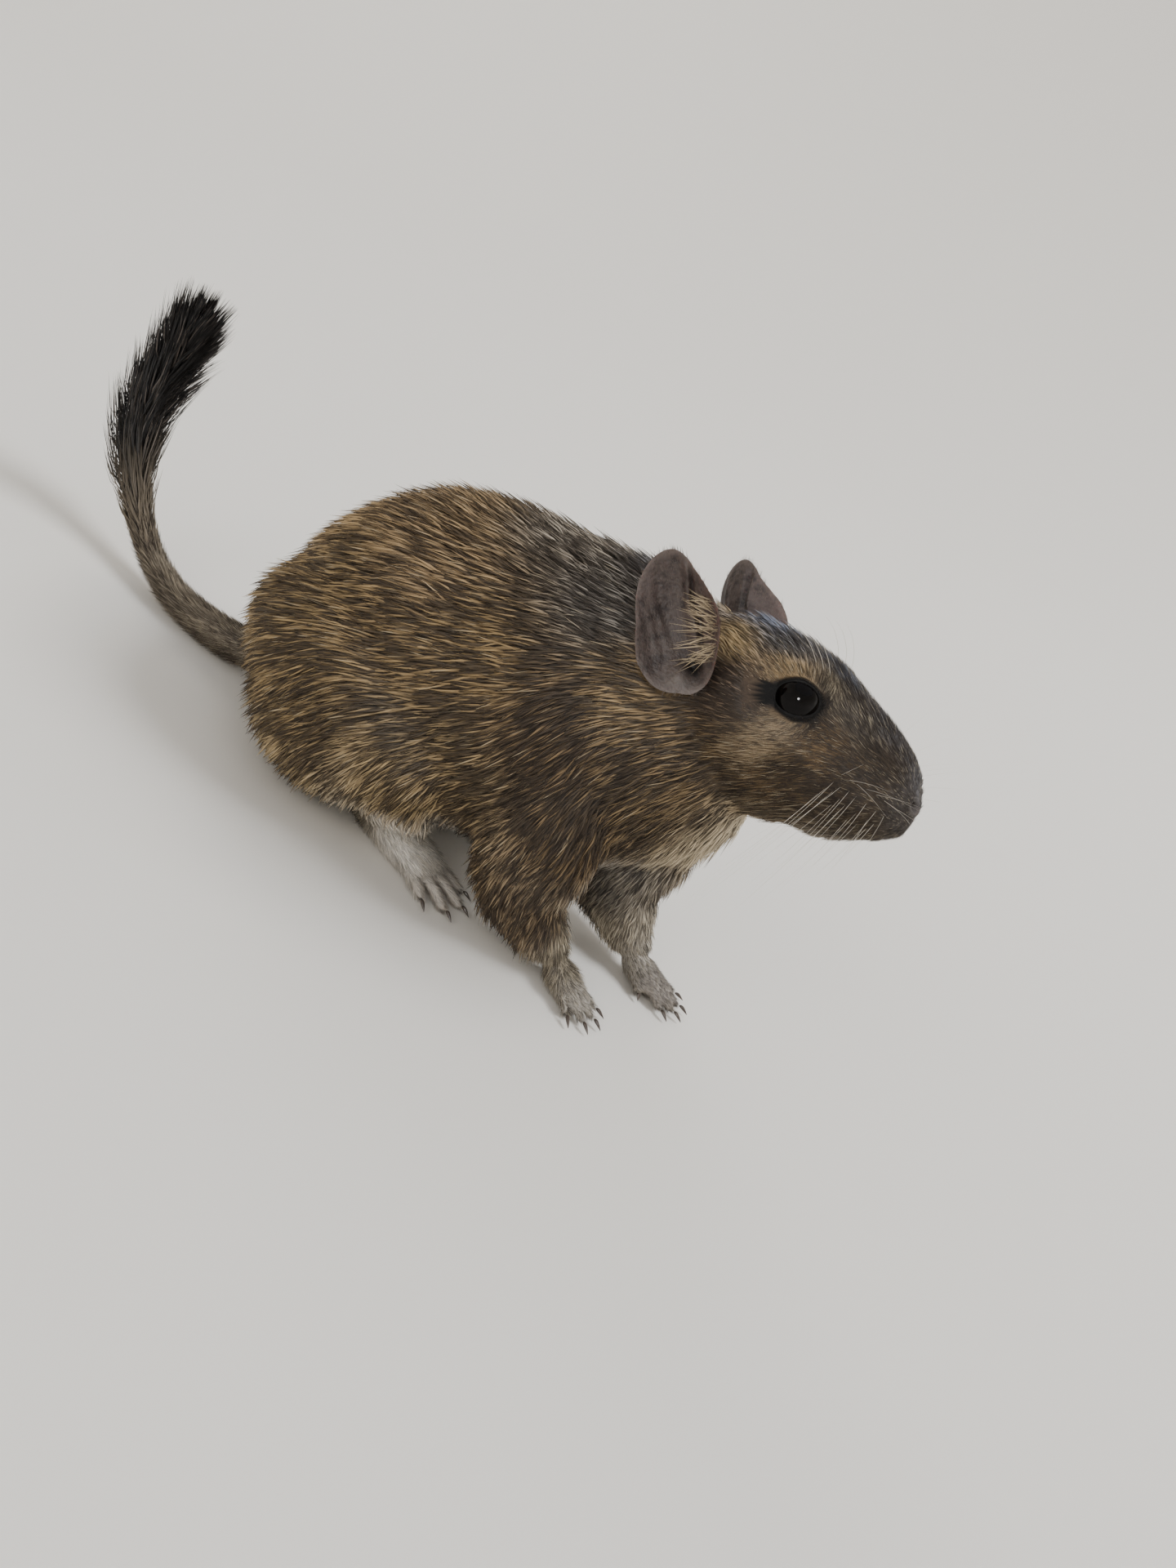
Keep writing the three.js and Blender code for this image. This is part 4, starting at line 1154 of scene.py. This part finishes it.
def growEarDown():
    roots, ways, ups, lengths = [], [], [], []
    for side in (1, -1):
        longAxis, wideAxis, outward = earAxes(side)
        count = earDown["count"]
        turn, far = draw.uniform(0, 2 * math.pi, count), np.sqrt(draw.uniform(0.02, 0.985, count))
        a, b = far * np.sin(turn), far * np.cos(turn)
        layer = np.where(draw.uniform(size=count) < 0.5, 1.0, -1.0)
        step = 0.01
        here = earSurface(a, b, layer, side)
        toTip = earSurface(a + step, b, layer, side) - here
        toEdge = earSurface(a, b + step, layer, side) - here
        up = unit(np.cross(toTip, toEdge)) * (layer * side)[:, None]
        outwards = (longAxis[None] * a[:, None] + wideAxis[None] * b[:, None]) @ rollMatrix.T
        way = unit(longAxis @ rollMatrix.T + outwards * 1.2 + draw.normal(size=(count, 3)) * 0.25)
        roots.append(here)
        ups.append(up)
        ways.append(unit(alongSkin(way, up)))
        lengths.append(earDown["long"] * draw.uniform(0.5, 1.1, count) * (1 + 0.5 * ramp(far, 0.85, 1)))
    root, way, up = np.vstack(roots), np.vstack(ways), np.vstack(ups)
    length = np.concatenate(lengths)
    count = len(root)
    rise = np.radians(16) * draw.uniform(0.4, 1.6, count)
    base, middle, tip = layTufts(root, way, up, length, rise, 0.4)
    shade = earDown["colour"] * draw.uniform(0.35, 1.25, count)[:, None]
    shades = (shade * 0.8, shade, shade * 1.1)
    width = draw.uniform(0.06, 0.1, count)
    writeTufts("ear_down", "straight", base, middle, tip, up, width, shades, spotOf(root))


growEarDown()
say("ears haired")

# Whiskers
# for each row, from the top: how far the whiskers lead forwards, drop, and bend down at the end
whiskers = {"rows": [(0.5, -0.3, 0.4), (0.25, 0.6, 0.9), (0.12, 1.0, 0.9), (0.05, 1.3, 0.8)],
            "each": 7, "long": 38, "radius": 0.029, "browEach": 3, "browLong": (8, 11), "browRadius": 0.04}


def hairTubes(name, chains, radii, look):
    corners, rings = 4, 12
    allPoints, allFaces, patches, start = [], [], [], 0
    for chain, radius in zip(chains, radii):
        spine = curveThrough(chain, rings)
        taper = radius * (1 - np.linspace(0, 1, rings) ** 1.6 * 0.9)
        points, quads = tubeAlong(spine, taper, corners)
        size = len(points)
        caps = [[3, 2, 1, 0], [size - 4, size - 3, size - 2, size - 1]]
        allPoints.append(points)
        allFaces.append(np.vstack([quads, caps]) + start)
        along = np.linspace(-0.0015, 0.0015, rings).repeat(corners)
        across = np.tile(np.linspace(-0.0004, 0.0004, corners), rings)
        patches.append(spotOf(chain[:1]) + np.c_[across, along])
        start += size
    faces = np.vstack(allFaces)
    mesh = meshFrom(name, np.vstack(allPoints), faces)
    layer = mesh.uv_layers.new(name="OFBake")
    layer.data.foreach_set("uv", np.vstack(patches)[faces.ravel()].astype(np.float32).ravel())
    thing = newObject(name, mesh, [look])
    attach(thing, "root")


def onSkin(spot):
    return np.array(skinTree.find(fromHead([spot])[0])[0])


def buildWhiskers():
    chains, radii = [], []
    for side in (1, -1):
        for row, (lead, fall, sag) in enumerate(whiskers["rows"]):
            for step in range(whiskers["each"]):
                across = side * (5.6 + 0.7 * step)
                root = onSkin((22.5 - 1.5 * step - 0.4 * row, across, -0.4 - 1.5 * row))
                drop = fall + draw.uniform(-0.15, 0.15)
                way = unit((lead - 0.06 * step + draw.uniform(-0.15, 0.15), side * 0.65, -drop))
                length = whiskers["long"] * (0.45 + 0.1 * step) * draw.uniform(0.75, 1.1)
                bend = np.array([-0.1, -side * 0.06, -0.2]) * length * sag * draw.uniform(0.4, 1.1)
                middle = root + way * length * 0.45 + bend * 0.25
                end = root + way * length * 0.8 + bend
                chains.append([root - way * 0.5, root + way * length * 0.2, middle, end])
                radii.append(whiskers["radius"] * draw.uniform(0.8, 1.2))
        for step in range(whiskers["browEach"]):
            root = onSkin((1.5 - 1.8 * step, side * 8.0, 13.2))
            way = unit((-0.45 - 0.1 * step, side * 0.5, 0.7))
            length = draw.uniform(*whiskers["browLong"])
            middle = root + way * length * 0.75 + [-1.2, 0, -0.2]
            end = root + way * length + [-3, 0, -0.9]
            chains.append([root - way * 0.3, root + way * length * 0.4, middle, end])
            radii.append(whiskers["browRadius"])
    hairTubes("whiskers", chains, radii, whiskerLook)


buildWhiskers()
say("whiskers made")

# Stage: pale floor that curves up all round, soft light, and the camera at the photo's angle.
# The camera sees the target at that pixel of a picture of that size.
view = {"azimuth": 17, "elevation": 25, "roll": 33, "distance": 245, "target": (0, -11, 0),
        "pixel": (715, 1238), "picture": (1440, 1920), "focalPixels": 1440.0, "sensor": 36}
bowl = {"flat": 1.0, "bend": 1.7, "top": 3.4, "turns": 96, "steps": 31}


def addStage():
    flat, bend, top = bowl["flat"], bowl["bend"], bowl["top"]
    profile = [(0, 0)]
    for turn in np.linspace(0, math.pi / 2, bowl["steps"] + 1):
        profile.append((flat + bend * math.sin(turn), bend - bend * math.cos(turn)))
    profile.append((flat + bend, top))
    shape = bmesh.new()
    verts = [shape.verts.new((far, 0, high)) for far, high in profile]
    edges = [shape.edges.new(pair) for pair in zip(verts[:-1], verts[1:])]
    bmesh.ops.spin(shape, geom=verts + edges, cent=(0, 0, 0), axis=(0, 0, 1), angle=2 * math.pi,
                   steps=bowl["turns"], use_merge=True)
    bmesh.ops.remove_doubles(shape, verts=shape.verts, dist=1e-5)
    bmesh.ops.recalc_face_normals(shape, faces=shape.faces)
    shape.faces.ensure_lookup_table()
    if min(shape.faces, key=lambda face: face.calc_center_median().z).normal.z < 0:
        bmesh.ops.reverse_faces(shape, faces=shape.faces)
    mesh = bpy.data.meshes.new("floor")
    shape.to_mesh(mesh)
    shape.free()
    smoothAll(mesh)
    paper = material("floor_paper", linear(226, 222, 215), 0.9, Specular_IOR_Level=0.1)
    newObject("floor", mesh, [paper])


def addLight(name, spot, target, size, power, colour):
    lamp = bpy.data.lights.new(name, "AREA")
    lamp.shape = "DISK"
    lamp.size = size
    lamp.energy = power
    lamp.color = colour
    thing = bpy.data.objects.new(name, lamp)
    thing.location = spot
    thing.rotation_mode = "QUATERNION"
    thing.rotation_quaternion = (Vector(target) - Vector(spot)).to_track_quat("-Z", "Y")
    thing.visible_glossy = name == "catch"
    thing.visible_diffuse = name != "catch"
    thing.visible_camera = False
    bpy.context.scene.collection.objects.link(thing)


def addCamera():
    a, e, r = (math.radians(view[key]) for key in ("azimuth", "elevation", "roll"))
    back = np.array([math.sin(a) * math.cos(e), -math.cos(a) * math.cos(e), math.sin(e)])
    level = np.array([math.cos(a), math.sin(a), 0])
    upright = np.cross(back, level)
    right = level * math.cos(r) + upright * math.sin(r)
    up = upright * math.cos(r) - level * math.sin(r)
    focal = view["focalPixels"]
    wide, high = view["picture"]
    x, y = (view["pixel"][0] - wide / 2) / focal, (high / 2 - view["pixel"][1]) / focal
    spot = np.array(view["target"], float) - (x * right + y * up - back) * view["distance"]
    camera = bpy.data.cameras.new("camera")
    camera.sensor_width = view["sensor"]
    camera.lens = view["sensor"] * focal / high
    camera.clip_start, camera.clip_end = 0.01, 20
    thing = bpy.data.objects.new("camera", camera)
    turned = Matrix((right, up, back)).transposed()
    thing.matrix_world = Matrix.Translation(Vector(toMetres([spot])[0])) @ turned.to_4x4()
    bpy.context.scene.collection.objects.link(thing)
    bpy.context.scene.camera = thing


addStage()
middle = Vector((0, 0, 0.045))
addLight("key", (1.5, 0.7, 2.3), middle, 1.3, 66, (0.93, 0.96, 1.0))
addLight("fill", (-0.7, -2.3, 1.5), middle, 1.8, 16, (1.0, 0.97, 0.93))
addLight("catch", (0.45, -1.4, 0.8), middle, 0.3, 24, (1.0, 1.0, 1.0))
addLight("rim", (-1.9, 1.6, 1.4), middle, 1.4, 20, (1.0, 0.98, 0.95))
world = bpy.data.worlds.new("soft")
world.use_nodes = True
world.node_tree.nodes["Background"].inputs["Color"].default_value = (0.93, 0.95, 1.0, 1)
world.node_tree.nodes["Background"].inputs["Strength"].default_value = 0.7
bpy.context.scene.world = world
addCamera()

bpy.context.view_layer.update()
say("done")
